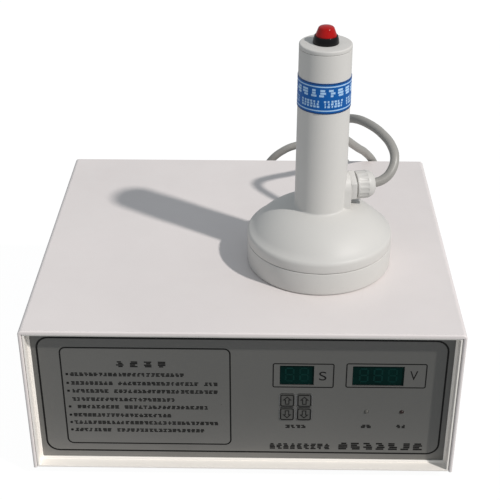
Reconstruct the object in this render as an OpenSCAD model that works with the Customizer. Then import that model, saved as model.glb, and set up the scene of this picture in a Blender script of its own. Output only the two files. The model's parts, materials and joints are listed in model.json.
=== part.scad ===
// Hand-held induction cap sealer: a folded steel power unit with a hooded front panel, and the
// flared sealing head that stands on its top, joined by one grey cable.
// Pieces are drawn in the case's frame: X to the right from the middle of the case, Y to the
// rear from the cover's front edge, Z up from the case's underside. All sizes are millimetres.

/* [Case] */
// Width of the case
case_w = 290; // [280:1:330]
// Depth of the case, from the cover's front edge to the rear face
case_d = 254; // [250:1:300]
// Height of the case above its feet
case_h = 114.5; // [112:0.5:140]
// Thickness of the folded sheet
sheet = 1.2; // [0.8:0.1:1.6]
// Outer radius of the cover's folds
fold_r = 3; // [2.8:0.1:5]
// Thickness of the hem round the cover's front edge
hem = 2.5; // [2:0.1:2.7]
// Depth of the hem
hem_d = 14; // [13:0.5:20]
// Width of the returns under the cover's sides
return_w = 14; // [12:1:20]
// Height of the feet under the case
foot_h = 8; // [6:0.5:15]
// Radius of a foot
foot_r = 9; // [7:0.5:12]
// Distance of a foot's centre from the case's edges
foot_inset = 27; // [26:1:40]
// Gap between pieces that fit together
fit = 0.3; // [0.2:0.05:0.4]
// Number of vent slots in each side
vent_count = 9; // [4:1:12]
// Width of a vent slot
vent_w = 3; // [2:0.5:4]
// Height of a vent slot
vent_h = 36; // [20:1:50]
// Distance between vent slots
vent_pitch = 8; // [6:0.5:10]

/* [Front panel] */
// How far the frame stands behind the cover's front edge
frame_set_back = 0.8; // [0.2:0.1:1.2]
// Thickness of the frame's walls round the recess
frame_wall = 1.2; // [1:0.1:1.3]
// Width of the lip round the panel
lip_w = 1.5; // [1.2:0.1:2]
// Depth of the lip round the panel
lip_d = 1.2; // [0.8:0.1:1.5]
// Bevel along the lip's inner edge
lip_bevel = 0.6; // [0.3:0.1:0.7]
// How far the panel lies behind the cover's front edge
panel_recess = 9.5; // [7:0.1:10]
// How far the panel reaches behind the frame
panel_lap = 1.2; // [0.8:0.1:1.2]
// Thickness of the printed film
film_t = 0.4; // [0.3:0.05:0.6]
// Thickness of the panel plate
plate_t = 1.5; // [1.2:0.1:2]

/* [Controls] */
// Height of the display windows
window_h = 15.9; // [14:0.1:17]
// Width of the seconds window
time_window_w = 22.8; // [20:0.1:25]
// Width of the volts window
volt_window_w = 34.3; // [30:0.1:36]
// Middle of the control board, from the case's right side
controls_from_right = 74; // [70:0.5:80]
// Middle of the seconds window, from the middle of the control board
time_window_dx = -34.6; // [-37:0.1:-32]
// Middle of the volts window, from the middle of the control board
volt_window_dx = 19.6; // [16:0.1:22]
// Middle height of the windows
window_z = 74.6; // [73:0.1:76]
// How far the windows lie behind the film
window_sink = 0.9; // [0.6:0.1:1.2]
// Width of a key
key_w = 10.1; // [9:0.1:10.5]
// Height of a key
key_h = 10.7; // [9.5:0.1:10.7]
// Distance between keys
key_pitch = 11.6; // [11.4:0.1:13]
// Middle of the four keys, from the middle of the control board
key_dx = -34.9; // [-37:0.1:-32]
// Middle height of the four keys
key_z = 48; // [46:0.1:49]
// How far a key stands proud of the film
key_proud = 0.5; // [0.4:0.05:0.6]
// Travel of a key
key_travel = 0.4; // [0.2:0.05:0.4]
// Radius of the indicator lamps
lamp_r = 1.5; // [1.5:0.25:2.5]
// Distance between the indicator lamps
lamp_pitch = 23.9; // [15:0.1:26]
// Middle of the two lamps, from the middle of the control board
lamp_dx = 25.1; // [20:0.1:28]
// Height of the lamps
lamp_z = 44.7; // [42:0.1:48]
// Length of the spacers under the circuit boards
spacer_len = 10; // [9:0.5:12]

/* [Sealing head] */
// Middle of the head, from the middle of the case
head_x = 52.4; // [40:0.1:60]
// Middle of the head, from the cover's front edge
head_y = 95.6; // [90:0.1:110]
// Radius of the round base of the head
disc_r = 50.5; // [48:0.5:56]
// Height of the coil cover
disc_h = 17; // [16:0.5:20]
// Height of the rim where the dome starts
rim_h = 24.7; // [23.5:0.1:28]
// Height of the shoulder where the handle starts
shoulder_h = 44.2; // [42:0.1:44.5]
// How far the dome bulges past a straight cone
dome_bulge = 3.5; // [2:0.5:4]
// Radius of the handle at the shoulder
handle_r = 17.8; // [17.6:0.1:18.4]
// Radius of the handle at its top
handle_top_r = 17.3; // [16.8:0.1:17.5]
// Height of the head without its button
handle_h = 161; // [150:1:175]
// Wall of the head
wall = 3.6; // [3:0.1:4]
// Thickness of the handle's cap
cap_t = 3; // [2.5:0.1:4]
// Lower edge of the label on the handle
label_low = 118.7; // [90:0.1:125]
// Height of the label
label_h = 21; // [15:0.5:24]
// Thickness of the label
label_t = 0.25; // [0.2:0.05:0.4]
// Radius of the button's collar
collar_r = 8.6; // [8.2:0.1:9.5]
// Height of the button's collar
collar_h = 3.6; // [3.4:0.1:4.5]
// Radius of the lens at the collar
lens_r = 6.9; // [6.6:0.1:7.1]
// Radius of the lens at its top
lens_top_r = 4.1; // [3.6:0.1:5]
// Height of the lens above the collar
lens_h = 7.8; // [6:0.1:9]
// Travel of the button
button_travel = 2; // [1:0.1:2]

/* [Glands and cable] */
// Diameter of the cable
cable_d = 6.5; // [6:0.1:7]
// Length of a cable gland outside its wall
gland_len = 19; // [18:0.5:22]
// Width across the flats of a gland's body
gland_af = 20; // [19:0.5:21]
// Radius of a gland's nut
gland_nut_r = 10.2; // [9.8:0.1:10.8]
// Radius of a gland's thread
gland_thread_r = 7.5; // [7:0.1:7.8]
// Height of the head's gland above the case's top
gland_h = 56; // [56:0.5:62]
// How far the head's gland is turned towards the rear
gland_turn = 13; // [0:1:25]
// Place of the rear gland, from the middle of the case
rear_gland_x = 96; // [85:0.5:105]
// Height of the rear gland
rear_gland_z = 34; // [30:0.5:40]

/* [Rear panel] */
// Distance of the fan's middle from the case's left side
fan_from_left = 60; // [58:1:70]
// Height of the fan's middle
fan_z = 57; // [52:0.5:60]
// Width of the fan
fan_size = 80; // [76:1:84]
// Depth of the fan
fan_depth = 25; // [22:1:28]
// Middle of the mains inlet
inlet_x = -8; // [-15:1:5]
// Height of the mains inlet
inlet_z = 30; // [25:1:35]
// Height of the power switch above the same place
switch_z = 72; // [65:1:80]
// Middle of the fuse holder
fuse_x = 34; // [25:1:45]
// Height of the fuse holder
fuse_z = 30; // [25:1:40]

/* [Hidden] */
$fn = 48;

// Colours
paint = [0.84, 0.82, 0.80];
dark_paint = [0.16, 0.16, 0.17];
panel_grey = [0.36, 0.36, 0.35];
window_green = [0.02, 0.14, 0.12];
nylon = [0.88, 0.86, 0.84];
black_plastic = [0.07, 0.07, 0.07];
board_green = [0.08, 0.30, 0.16];
bare_metal = [0.72, 0.73, 0.75];
cable_grey = [0.45, 0.44, 0.42];

// Case
tray_w = case_w - 2 * hem - 2 * fit;
tray_rear = case_d - sheet - fit;
floor_top = 2 * sheet;
tray_lip = 12;
screw_r = 1.4;
screw_hole_r = 1.6;
screw_head_r = 2.8;
screw_head_h = 1.8;
screw_x = case_w / 2 - return_w / 2;
screw_places = [for (side = [-1, 1]) for (y = [0.16, 0.8]) [side * screw_x, y * case_d]];
foot_x = case_w / 2 - foot_inset;
foot_places = [for (side = [-1, 1]) for (y = [foot_inset, case_d - foot_inset]) [side * foot_x, y]];
foot_neck_r = 3;
foot_barb_r = 4;
vent_z = case_h / 2;
vent_y = case_d * 0.55;

// Front panel
frame_w = case_w - 2 * hem - 2 * fit;
frame_z0 = 0.2;
frame_z1 = case_h - hem - fit;
open_w = frame_w - 2 * (frame_wall + lip_w);
open_z0 = frame_z0 + frame_wall + lip_w;
open_z1 = frame_z1 - frame_wall - lip_w;
open_h = open_z1 - open_z0;
open_z = (open_z0 + open_z1) / 2;
open_r = 1;
film_front = panel_recess;
plate_front = film_front + film_t;
plate_back = plate_front + plate_t;
frame_back = plate_back;
lip_front = panel_recess - lip_d;
panel_w = open_w + 2 * panel_lap;
panel_h = open_h + 2 * panel_lap;
tab_w = 20;
tab_h = 8;
tray_front = frame_back;

// Controls
window_t = 1.5;
window_lap = 2.5;
window_gap = 0.15;
board_t = 1.6;
board_front = plate_back + spacer_len;
board_w = 114;
board_h = 70;
board_x = case_w / 2 - controls_from_right;
board_z = 61;
time_window_x = board_x + time_window_dx;
volt_window_x = board_x + volt_window_dx;
key_x = board_x + key_dx;
lamp_x = board_x + lamp_dx;
digit_h = 19;
digit_w = 12.4;
digit_front = plate_back + window_t + fit;
key_r = 1.6;
key_t = 0.4;
key_stem_r = 1.7;
switch_body = 6;
switch_d = 3.5;
switch_well = 1.2;
key_back = film_front - key_proud + key_t;
key_stem_end = board_front - switch_d + switch_well - key_travel - 0.3;
spacer_af = 5.5;
control_board_holes = [for (sx = [-1, 1]) for (sz = [-1, 1])
    [board_x + sx * (board_w / 2 - 5), board_z + sz * (board_h / 2 - 4)]];
lamp_len = 7;
lamp_flange = 0.5;
lamp_flange_t = 1;
lamp_leg = 0.5;
lamp_leg_pitch = 2.54;
stud_r = 1.4;
stud_hole_r = 1.6;
stud_len = board_t + 1.4;

// Rear panel
rear_w = case_w - 2 * sheet - 2 * fit;
rear_z0 = floor_top;
rear_z1 = case_h - sheet - fit;
rear_lip = 12;
fan_x = fan_from_left - case_w / 2;
fan_bore_r = fan_size / 2 - 2;
fan_hub_r = 17;
fan_base_t = 3;
fan_hole_pitch = fan_size - 8.5;
fan_hole_r = 2.15;
fan_y0 = case_d - sheet - fan_depth;
fan_shaft_r = 1.5;
blade_count = 7;
blade_t = 1.6;
blade_slant = 40;
fan_screw_head_r = 3.6;
fan_screw_head_h = 2.2;
fan_screw_len = 16;
wire_r = 1;
ring_count = 4;
ring_pitch = 8.5;
guard_eye_t = 2;
guard_eye_r = 4;
guard_bar_t = 1.4;
guard_bar_w = 1.8;
inlet_w = 27;
inlet_hh = 19.6;
inlet_body_d = 22;
inlet_flange = 2.6;
socket_w = 24.2;
socket_h = 16.6;
socket_d = 17;
pin_len = 11.5;
pin_w = 2;
pin_h = 4;
pin_tail = 7;
rocker_w = 10;
rocker_half = 8;
rocker_tilt = 9;
rocker_pin_r = 1.2;
rocker_crest = 3.2;
rocker_dip = 1.8;
rocker_deep = 3.6;
switch_w = 13;
switch_hh = 19.4;
switch_depth = 18;
switch_flange = 2;
pivot_y = case_d - 1;
fuse_r = 6;
fuse_len = 32;
fuse_flange_r = 8.4;
fuse_flange_t = 2.2;
fuse_cap_r = 6.8;
fuse_cap_h = 9;
fuse_slot_w = 1.4;
fuse_slot_d = 1.6;
fuse_grip_count = 12;
fuse_grip_r = 0.8;

// Power electronics. The heat sink stands in front of the fan, and the power board fills the
// floor between the transistors on the sink and the tray's other side.
sink_w = 76;
sink_d = 110;
sink_h = 58;
sink_base = 6;
sink_wall = 5;
sink_fan_gap = 17.8;
sink_face = fan_x + sink_w / 2;
sink_y0 = fan_y0 - sink_fan_gap - sink_d;
fin_t = 2.2;
fin_count = 8;
transistor_w = 16;
transistor_h = 21;
transistor_t = 5;
transistor_count = 4;
transistor_pitch = 26;
transistor_legs = 12;
rectifier_w = 28.5;
rectifier_h = 9;
rectifier_gap = 25.75;
rectifier_hole_r = 2.4;
terminal_t = 0.8;
terminal_w = 6;
power_board_gap = 12.5;
power_board_side = 16.7;
power_board_rear = 38;
power_board_d = 155;
power_board_x0 = sink_face + transistor_t + power_board_gap;
power_board_x1 = tray_w / 2 - power_board_side;
power_board_y1 = tray_rear - power_board_rear;
power_board_y0 = power_board_y1 - power_board_d;
power_board_z = floor_top + spacer_len;
power_top = power_board_z + board_t;
stud_edge = 6;
power_board_holes = [for (x = [power_board_x0 + stud_edge, power_board_x1 - stud_edge])
    for (y = [power_board_y0 + stud_edge, power_board_y1 - stud_edge]) [x, y]];
can_r = 15;
can_h = 42;
can_groove = 0.8;
can_pitch = 40;
can_from_left = 20;
can_from_front = 35.5;
can_x = power_board_x0 + can_from_left;
can_y = power_board_y0 + can_from_front;
film_cap_w = 57;
film_cap_d = 30;
film_cap_h = 45;
film_cap_from_right = 37.5;
film_cap_from_front = 28.5;
film_cap_x = power_board_x1 - film_cap_from_right;
film_cap_y = power_board_y0 + film_cap_from_front;
core_w = 70;
core_d = 30;
core_h = 58;
core_leg = 22;
core_window = 14;
core_yoke = 10;
core_from_right = 55.5;
core_from_front = 100.5;
core_x = power_board_x1 - core_from_right;
core_y = power_board_y0 + core_from_front;
tray_slot_count = 8;
tray_slot_w = 4;
tray_slot_len = 70;
tray_slot_pitch = 12;

// Sealing head
seam = 0.4;
edge = 0.6;
rim_r = 2;
rim_sweep = 60;
tube_top = handle_h - cap_t;
spigot_t = 2.4;
spigot_h = 4;
cover_floor = 3;
boss_r = 11.3;
boss_face = handle_r + 1;
boss_from = 6;
collar_taper = 0.6;
lens_lap = 0.6;
collar_floor = collar_h - lens_lap - button_travel - fit;
barrel_r = 6;
barrel_len = 12;
stem_r = 4.2;
stem_len = 9.5;
nut_af = 14;
nut_t = 3;
cap_spigot_t = 2;
cap_spigot_h = 6;
micro_h = 14;
micro_tail = 7;
former_r = disc_r - wall - fit - spigot_t - fit;
former_t = 2;
wire_coil_r = 2;
wire_coil_pitch = 3.9;
coil_turns = 8;
coil_first_r = 12;
ferrite_t = 5;
ferrite_w = 10;
ferrite_count = 6;

// Glands
gland_hex_t = 4.5;
gland_gap = 1.1;
gland_neck_r = 8;
gland_thread_len = 9;
gland_neck_lap = 4.5;
gland_crown = 5.5;
gland_round = 4;
locknut_t = 4;
flute_r = 1.2;
gland_bore_r = cable_d / 2 + 0.9;
gland_mouth_r = cable_d / 2 + 0.35;
flute_count = 16;

// Cable. The route runs from the head's gland, over the case's rear edge to the floor, into the
// coil behind the case, and on in an arch to the rear gland.
cable_r = cable_d / 2;
cable_sides = 10;
coil_x = 60;
coil_y = 358;
coil_mid_r = 36;
floor_z = -foot_h;
from_head = [
    [66, 98.8, 170.5], [78, 101.5, 170.5], [90, 104.3, 170.6], [97, 106.8, 172.6], [102, 110.8, 177],
    [104.4, 117, 183.2], [102.8, 125.5, 188.6], [97.2, 135.5, 193], [88, 147.5, 195.6],
    [78.4, 160.5, 194], [71.6, 174, 186.6], [69.4, 188, 174.4], [73.4, 203, 160.6], [81, 219, 147.8],
    [89, 235.5, 135.2], [96.5, 250.5, 124], [104, 262, 111], [110, 271, 95], [114, 277, 77],
    [116, 281, 58], [116.5, 284.5, 39], [116, 291, 20], [114.5, 302, 5], [112, 317, -3],
    [108, 332, -4.7], [102.5, 346, -4.75], [99.25, 358, -4.75]
];
to_case = [
    [20.75, 358, 1.75], [19.5, 344, 2], [16, 330, 4.5], [11.5, 317, 12], [8, 307, 24], [6, 300.5, 40],
    [6, 297, 58], [9.5, 296, 76], [17, 296, 92], [28.5, 296.5, 103], [42.5, 297, 108.8],
    [57, 297.8, 109.5], [70, 299, 104.5], [80.5, 300.5, 95.5], [88.8, 303, 82.5], [94, 304.5, 67.5],
    [96, 302.5, 51.5], [96, 294, 39.5], [96, 282.5, 34.5], [96, 271, 34], [96, 258, 34], [96, 246, 34]
];

module in_place() { translate([0, -(case_d + gland_len) / 2, foot_h]) children(); }
module at_head() { translate([head_x, head_y, case_h]) children(); }
module at_head_gland() {
    at_head() rotate([0, 0, gland_turn]) translate([boss_face, 0, gland_h]) children();
}
module at_rear_gland() {
    translate([rear_gland_x, case_d, rear_gland_z]) rotate([0, 0, 90]) children();
}
module along_y(from, length) {
    translate([0, from + length, 0]) rotate([90, 0, 0]) linear_extrude(length) children();
}
module rod_y(x, z, from, length, r) {
    translate([x, from, z]) rotate([-90, 0, 0]) cylinder(h = length, r = r);
}

// Plate outline with round corners, about the origin
module rounded(w, h, r) {
    square([w - 2 * r, h], center = true);
    square([w, h - 2 * r], center = true);
    for (sx = [-1, 1]) for (sy = [-1, 1])
        translate([sx * (w / 2 - r), sy * (h / 2 - r)]) circle(r);
}

// Outline that stands on the X axis and is round at its two upper corners
module arch(w, h, r, below) {
    translate([-w / 2, -below]) square([w, h - r + below]);
    translate([-w / 2 + r, -below]) square([w - 2 * r, h + below]);
    for (side = [-1, 1]) translate([side * (w / 2 - r), h - r]) circle(r);
}

// Points from p to q on a curve that bulges by b to the right of that direction
function bulged(p, q, b, n) = let (d = q - p, out = [d[1], -d[0]] / norm(d))
    [for (i = [0:n]) let (t = i / n) p + d * t + out * 4 * b * t * (1 - t)];
// Points of a quarter round from angle a to angle b
function round_points(c, r, a, b, n) =
    [for (i = [0:n]) let (t = a + (b - a) * i / n) c + r * [cos(t), sin(t)]];

// Case
module vent_slot() {
    cube([hem * 4, vent_w, vent_h - vent_w], center = true);
    for (end = [-1, 1]) translate([0, 0, end * (vent_h - vent_w) / 2])
        rotate([0, 90, 0]) cylinder(h = hem * 4, r = vent_w / 2, center = true);
}
module case_cover() {
    color(paint) difference() {
        union() {
            difference() {
                along_y(0, case_d) arch(case_w, case_h, fold_r, 0);
                along_y(-1, case_d + 2)
                    arch(case_w - 2 * hem, case_h - hem, max(fold_r - hem, 0.2), 1);
                along_y(hem_d, case_d)
                    arch(case_w - 2 * sheet, case_h - sheet, max(fold_r - sheet, 0.2), 1);
            }
            for (side = [0, 1]) mirror([side, 0, 0])
                translate([case_w / 2 - return_w, hem_d, 0])
                    cube([return_w - sheet / 2, case_d - hem_d, sheet]);
        }
        for (side = [-1, 1]) for (i = [0:vent_count - 1])
            translate([side * case_w / 2, vent_y + (i - (vent_count - 1) / 2) * vent_pitch, vent_z])
                vent_slot();
        for (p = screw_places)
            translate([p[0], p[1], -1]) cylinder(h = sheet + 2, r = screw_hole_r);
    }
}
module base_tray() {
    color(dark_paint) difference() {
        union() {
            translate([-tray_w / 2, tray_front, sheet]) cube([tray_w, tray_rear - tray_front, sheet]);
            for (side = [0, 1]) mirror([side, 0, 0])
                translate([tray_w / 2 - sheet, hem_d + 6, sheet])
                    cube([sheet, tray_rear - hem_d - 6 - rear_lip - 4, tray_lip]);
            for (x = [-0.4, 0, 0.4])
                translate([x * case_w - tab_w / 2, frame_back, sheet])
                    cube([tab_w, sheet, tab_h]);
        }
        for (p = foot_places)
            translate([p[0], p[1], 0]) cylinder(h = 3 * sheet, r = foot_neck_r + 0.2);
        for (p = screw_places)
            translate([p[0], p[1], 0]) cylinder(h = 3 * sheet, r = screw_hole_r);
        for (i = [0:tray_slot_count - 1])
            translate([
                (power_board_x0 + power_board_x1 - tray_slot_w) / 2
                    + (i - (tray_slot_count - 1) / 2) * tray_slot_pitch,
                (power_board_y0 + power_board_y1 - tray_slot_len) / 2, 0
            ]) cube([tray_slot_w, tray_slot_len, 3 * sheet]);
    }
}
module rubber_feet() {
    color(black_plastic) for (p = foot_places) translate([p[0], p[1], 0]) rotate_extrude()
        polygon([
            [0, floor_z], [foot_r - 1.8, floor_z], [foot_r - 1, floor_z + 0.8], [foot_r, sheet],
            [foot_neck_r, sheet], [foot_neck_r, floor_top], [foot_barb_r, floor_top],
            [foot_neck_r - 0.6, floor_top + 4], [0, floor_top + 4]
        ]);
}
module case_screws() {
    color(bare_metal) for (p = screw_places) translate([p[0], p[1], 0]) rotate_extrude()
        polygon([
            [0, -screw_head_h], [screw_head_r - 0.9, -screw_head_h], [screw_head_r, -screw_head_h + 0.9],
            [screw_head_r, 0], [screw_r, 0], [screw_r, tray_lip - 4], [0, tray_lip - 4]
        ]);
}

// Front panel
module panel_outline(grow) { translate([0, open_z]) rounded(open_w + grow, open_h + grow, open_r); }
module front_frame() {
    color(paint) difference() {
        along_y(frame_set_back, frame_back - frame_set_back)
            translate([0, (frame_z0 + frame_z1) / 2]) rounded(frame_w, frame_z1 - frame_z0, 0.8);
        along_y(-1, frame_back + 2) panel_outline(0);
        along_y(-1, lip_front + 1) panel_outline(2 * lip_w);
        hull() {
            along_y(lip_front - 0.01, 0.01) panel_outline(2 * lip_bevel, $fn = 24);
            along_y(lip_front + lip_bevel, 0.01) panel_outline(0, $fn = 24);
        }
        along_y(panel_recess, frame_back)
            translate([0, open_z]) rounded(panel_w + 2 * fit, panel_h + 2 * fit, open_r);
    }
}
module windows_2d(gap) {
    translate([time_window_x, window_z])
        rounded(time_window_w - 2 * gap, window_h - 2 * gap, 0.4);
    translate([volt_window_x, window_z])
        rounded(volt_window_w - 2 * gap, window_h - 2 * gap, 0.4);
}
module lamps_2d(gap) {
    for (side = [-1, 1]) translate([lamp_x + side * lamp_pitch / 2, lamp_z]) circle(lamp_r + gap);
}
module keys_2d() {
    for (sx = [-1, 1]) for (sz = [-1, 1])
        translate([key_x + sx * key_pitch / 2, key_z + sz * key_pitch / 2]) children();
}
module panel_film() {
    color(panel_grey) along_y(film_front, film_t) difference() {
        translate([0, open_z]) rounded(panel_w, panel_h, open_r);
        windows_2d(0);
        lamps_2d(0.1);
        keys_2d() rounded(key_w + 2 * fit, key_h + 2 * fit, key_r + fit);
    }
}
module front_plate() {
    color(bare_metal) along_y(plate_front, plate_t) difference() {
        translate([0, open_z]) rounded(panel_w, panel_h, open_r);
        windows_2d(0);
        lamps_2d(0.1);
        keys_2d() circle(key_stem_r + fit);
    }
}
module window(x, w) {
    color(window_green) translate([x, 0, window_z]) {
        along_y(film_front + window_sink, plate_back - film_front - window_sink)
            rounded(w - 2 * window_gap, window_h - 2 * window_gap, 0.3);
        along_y(plate_back, window_t) rounded(w + 2 * window_lap, window_h + window_lap, 1);
    }
}
module time_window() { window(time_window_x, time_window_w); }
module volt_window() { window(volt_window_x, volt_window_w); }
// One slanted seven-bar figure
module figure_bars() {
    bar = 1.5;
    half = 3.1;
    for (z = [-1, 0, 1]) translate([0, z * 2 * half]) square([2 * half - bar, bar], center = true);
    for (sx = [-1, 1]) for (sz = [-1, 1])
        translate([sx * half, sz * half]) square([bar, 2 * half - bar * 0.4], center = true);
}
module digits(x, count) {
    color(black_plastic) translate([x, 0, window_z]) {
        along_y(digit_front + 0.3, board_front - digit_front - 0.3)
            square([count * digit_w, digit_h], center = true);
        for (i = [0:count - 1])
            translate([(i - (count - 1) / 2) * digit_w, 0, 0]) along_y(digit_front, 0.4) figure_bars();
    }
}
module time_digits() { digits(time_window_x, 2); }
module volt_digits() { digits(volt_window_x, 3); }
module key(column, row) {
    color(panel_grey)
        translate([key_x + column * key_pitch / 2, 0, key_z + row * key_pitch / 2]) {
            along_y(key_back - key_t, key_t) rounded(key_w, key_h, key_r);
            rod_y(0, 0, key_back - 0.1, key_stem_end - key_back + 0.1, key_stem_r);
        }
}
module key_tens_up() { key(-1, 1); }
module key_units_up() { key(1, 1); }
module key_tens_down() { key(-1, -1); }
module key_units_down() { key(1, -1); }
module key_switches() {
    color(black_plastic) difference() {
        along_y(board_front - switch_d, switch_d)
            keys_2d() square([switch_body, switch_body], center = true);
        along_y(board_front - switch_d - 1, switch_well + 1) keys_2d() circle(key_stem_r + fit);
    }
}
module control_board() {
    color(board_green) along_y(board_front, board_t) difference() {
        translate([board_x, board_z]) rounded(board_w, board_h, 1);
        for (p = control_board_holes) translate(p) circle(stud_hole_r);
    }
}
module lamp(side, tint) {
    x = lamp_x + side * lamp_pitch / 2;
    color(tint) {
        translate([x, film_front, lamp_z]) rotate([-90, 0, 0]) rotate_extrude()
            polygon(concat(
                [[0, lamp_len], [lamp_r + lamp_flange, lamp_len]],
                [[lamp_r + lamp_flange, lamp_len - lamp_flange_t], [lamp_r, lamp_len - lamp_flange_t]],
                round_points([0, lamp_r / 3], lamp_r, 0, -90, 6)
            ));
        for (leg = [-1, 1])
            translate([x + (leg * lamp_leg_pitch - lamp_leg) / 2, film_front + lamp_len - lamp_leg,
                lamp_z - lamp_leg / 2])
                cube([lamp_leg, board_front - film_front - lamp_len + lamp_leg, lamp_leg]);
    }
}
module work_lamp() { lamp(-1, [0.75, 0.72, 0.66]); }
module ready_lamp() { lamp(1, [0.25, 0.05, 0.05]); }
module spacer() {
    cylinder(h = spacer_len, d = spacer_af / cos(30), $fn = 6);
    cylinder(h = spacer_len + stud_len, r = stud_r);
}
module board_spacers() {
    color(bare_metal) {
        for (p = control_board_holes)
            translate([p[0], plate_back, p[1]]) rotate([-90, 0, 0]) spacer();
        for (p = power_board_holes) translate([p[0], p[1], floor_top]) spacer();
    }
}

// Rear panel
module rear_pan(deep) {
    along_y(case_d - deep, deep) translate([0, (rear_z0 + rear_z1) / 2])
        rounded(rear_w, rear_z1 - rear_z0, 1.5);
}
module rear_panel() {
    color(paint) difference() {
        rear_pan(rear_lip);
        along_y(case_d - rear_lip - 1, rear_lip + 1 - sheet) translate([0, (rear_z0 + rear_z1) / 2])
            rounded(rear_w - 2 * sheet, rear_z1 - rear_z0 - 2 * sheet, 0.5);
        rod_y(fan_x, fan_z, case_d - 3 * sheet, 4 * sheet, fan_bore_r);
        fan_corners() rod_y(0, 0, case_d - 3 * sheet, 4 * sheet, fan_hole_r + 0.1);
        along_y(case_d - 3 * sheet, 4 * sheet) {
            translate([inlet_x, inlet_z]) square([inlet_w + 2 * fit, inlet_hh + 2 * fit], center = true);
            translate([inlet_x, switch_z]) square([switch_w + 2 * fit, switch_hh + 2 * fit], center = true);
        }
        rod_y(fuse_x, fuse_z, case_d - 3 * sheet, 4 * sheet, fuse_r + fit);
        rod_y(rear_gland_x, rear_gland_z, case_d - 3 * sheet, 4 * sheet, gland_thread_r + 0.1);
    }
}
module fan_corners() {
    for (sx = [-1, 1]) for (sz = [-1, 1])
        translate([fan_x + sx * fan_hole_pitch / 2, 0, fan_z + sz * fan_hole_pitch / 2]) children();
}
module fan_frame() {
    color(black_plastic) difference() {
        union() {
            difference() {
                along_y(fan_y0, fan_depth) translate([fan_x, fan_z]) rounded(fan_size, fan_size, 4);
                rod_y(fan_x, fan_z, fan_y0 - 1, fan_depth + 2, fan_bore_r);
            }
            rod_y(fan_x, fan_z, case_d - sheet - fan_base_t, fan_base_t - 0.4, fan_hub_r);
            for (a = [90, 210, 330])
                translate([fan_x, case_d - sheet - fan_base_t + 0.5, fan_z]) rotate([0, a, 0])
                    translate([fan_hub_r - 1, 0, -2])
                        cube([fan_bore_r - fan_hub_r + 2, fan_base_t - 1.2, 4]);
        }
        fan_corners() rod_y(0, 0, fan_y0 - 1, fan_depth + 2, fan_hole_r);
        rod_y(fan_x, fan_z, fan_y0, fan_depth - 0.8, fan_shaft_r + 0.05);
    }
}
module fan_rotor() {
    blade_from = fan_y0 + 3;
    blade_d = fan_depth - fan_base_t - 6;
    color(black_plastic) {
        rod_y(fan_x, fan_z, fan_y0 + 1.5, fan_depth - fan_base_t - 2, fan_hub_r);
        rod_y(fan_x, fan_z, fan_y0 + 2, fan_depth - 3.5, fan_shaft_r);
        intersection() {
            rod_y(fan_x, fan_z, blade_from, blade_d, fan_bore_r - 1);
            for (i = [0:blade_count - 1])
                translate([fan_x, blade_from + blade_d / 2, fan_z]) rotate([0, i * 360 / blade_count, 0])
                    translate([fan_hub_r - 1, 0, 0]) rotate([blade_slant, 0, 0])
                        translate([0, -blade_d, -blade_t / 2]) cube([fan_bore_r, 2 * blade_d, blade_t]);
        }
    }
}
module fan_guard() {
    color(bare_metal) difference() {
        union() {
            for (i = [0:ring_count - 1])
                translate([fan_x, case_d + guard_eye_t + 0.4, fan_z]) rotate([90, 0, 0]) rotate_extrude()
                    translate([fan_bore_r - i * ring_pitch, 0]) circle(wire_r, $fn = 8);
            for (a = [45, 135]) translate([fan_x, case_d + guard_eye_t - guard_bar_t / 2, fan_z])
                rotate([0, a, 0])
                    cube([fan_hole_pitch * sqrt(2), guard_bar_t, guard_bar_w], center = true);
            fan_corners() rod_y(0, 0, case_d, guard_eye_t, guard_eye_r);
        }
        fan_corners() rod_y(0, 0, case_d - 1, guard_eye_t + 2, fan_hole_r);
    }
}
module fan_screws() {
    color(bare_metal) fan_corners() {
        translate([0, case_d + guard_eye_t, 0]) rotate([-90, 0, 0]) rotate_extrude() polygon([
            [0, 0], [fan_screw_head_r, 0], [fan_screw_head_r, fan_screw_head_h * 0.45],
            [fan_screw_head_r * 0.67, fan_screw_head_h], [0, fan_screw_head_h]
        ]);
        rod_y(0, 0, case_d + guard_eye_t - fan_screw_len, fan_screw_len, fan_hole_r - fit / 2);
    }
}
// Socket outline with two cut corners
module socket_2d(w, h) {
    cut = 4.5;
    polygon([
        [-w / 2, -h / 2], [w / 2, -h / 2], [w / 2, h / 2 - cut], [w / 2 - cut, h / 2],
        [-w / 2 + cut, h / 2], [-w / 2, h / 2 - cut]
    ]);
}
module mains_inlet() {
    color(black_plastic) translate([inlet_x, 0, inlet_z]) difference() {
        union() {
            along_y(case_d, inlet_flange) rounded(inlet_w + 5, inlet_hh + 5, 2);
            along_y(case_d - inlet_body_d, inlet_body_d + 0.1) square([inlet_w, inlet_hh], center = true);
        }
        along_y(case_d + inlet_flange - socket_d, socket_d + 1) socket_2d(socket_w, socket_h);
        pin_places() along_y(case_d - inlet_body_d - 1, inlet_body_d)
            square([pin_w + 0.2, pin_h + 0.2], center = true);
    }
}
module pin_places() {
    for (p = [[-7, -1], [0, 3], [7, -1]]) translate([p[0], 0, p[1]]) children();
}
module inlet_pins() {
    pin_tip = case_d + inlet_flange - socket_d + pin_len;
    color(bare_metal) translate([inlet_x, 0, inlet_z]) pin_places()
        along_y(case_d - inlet_body_d - pin_tail, pin_tip - case_d + inlet_body_d + pin_tail)
            square([pin_w, pin_h], center = true);
}
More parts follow.
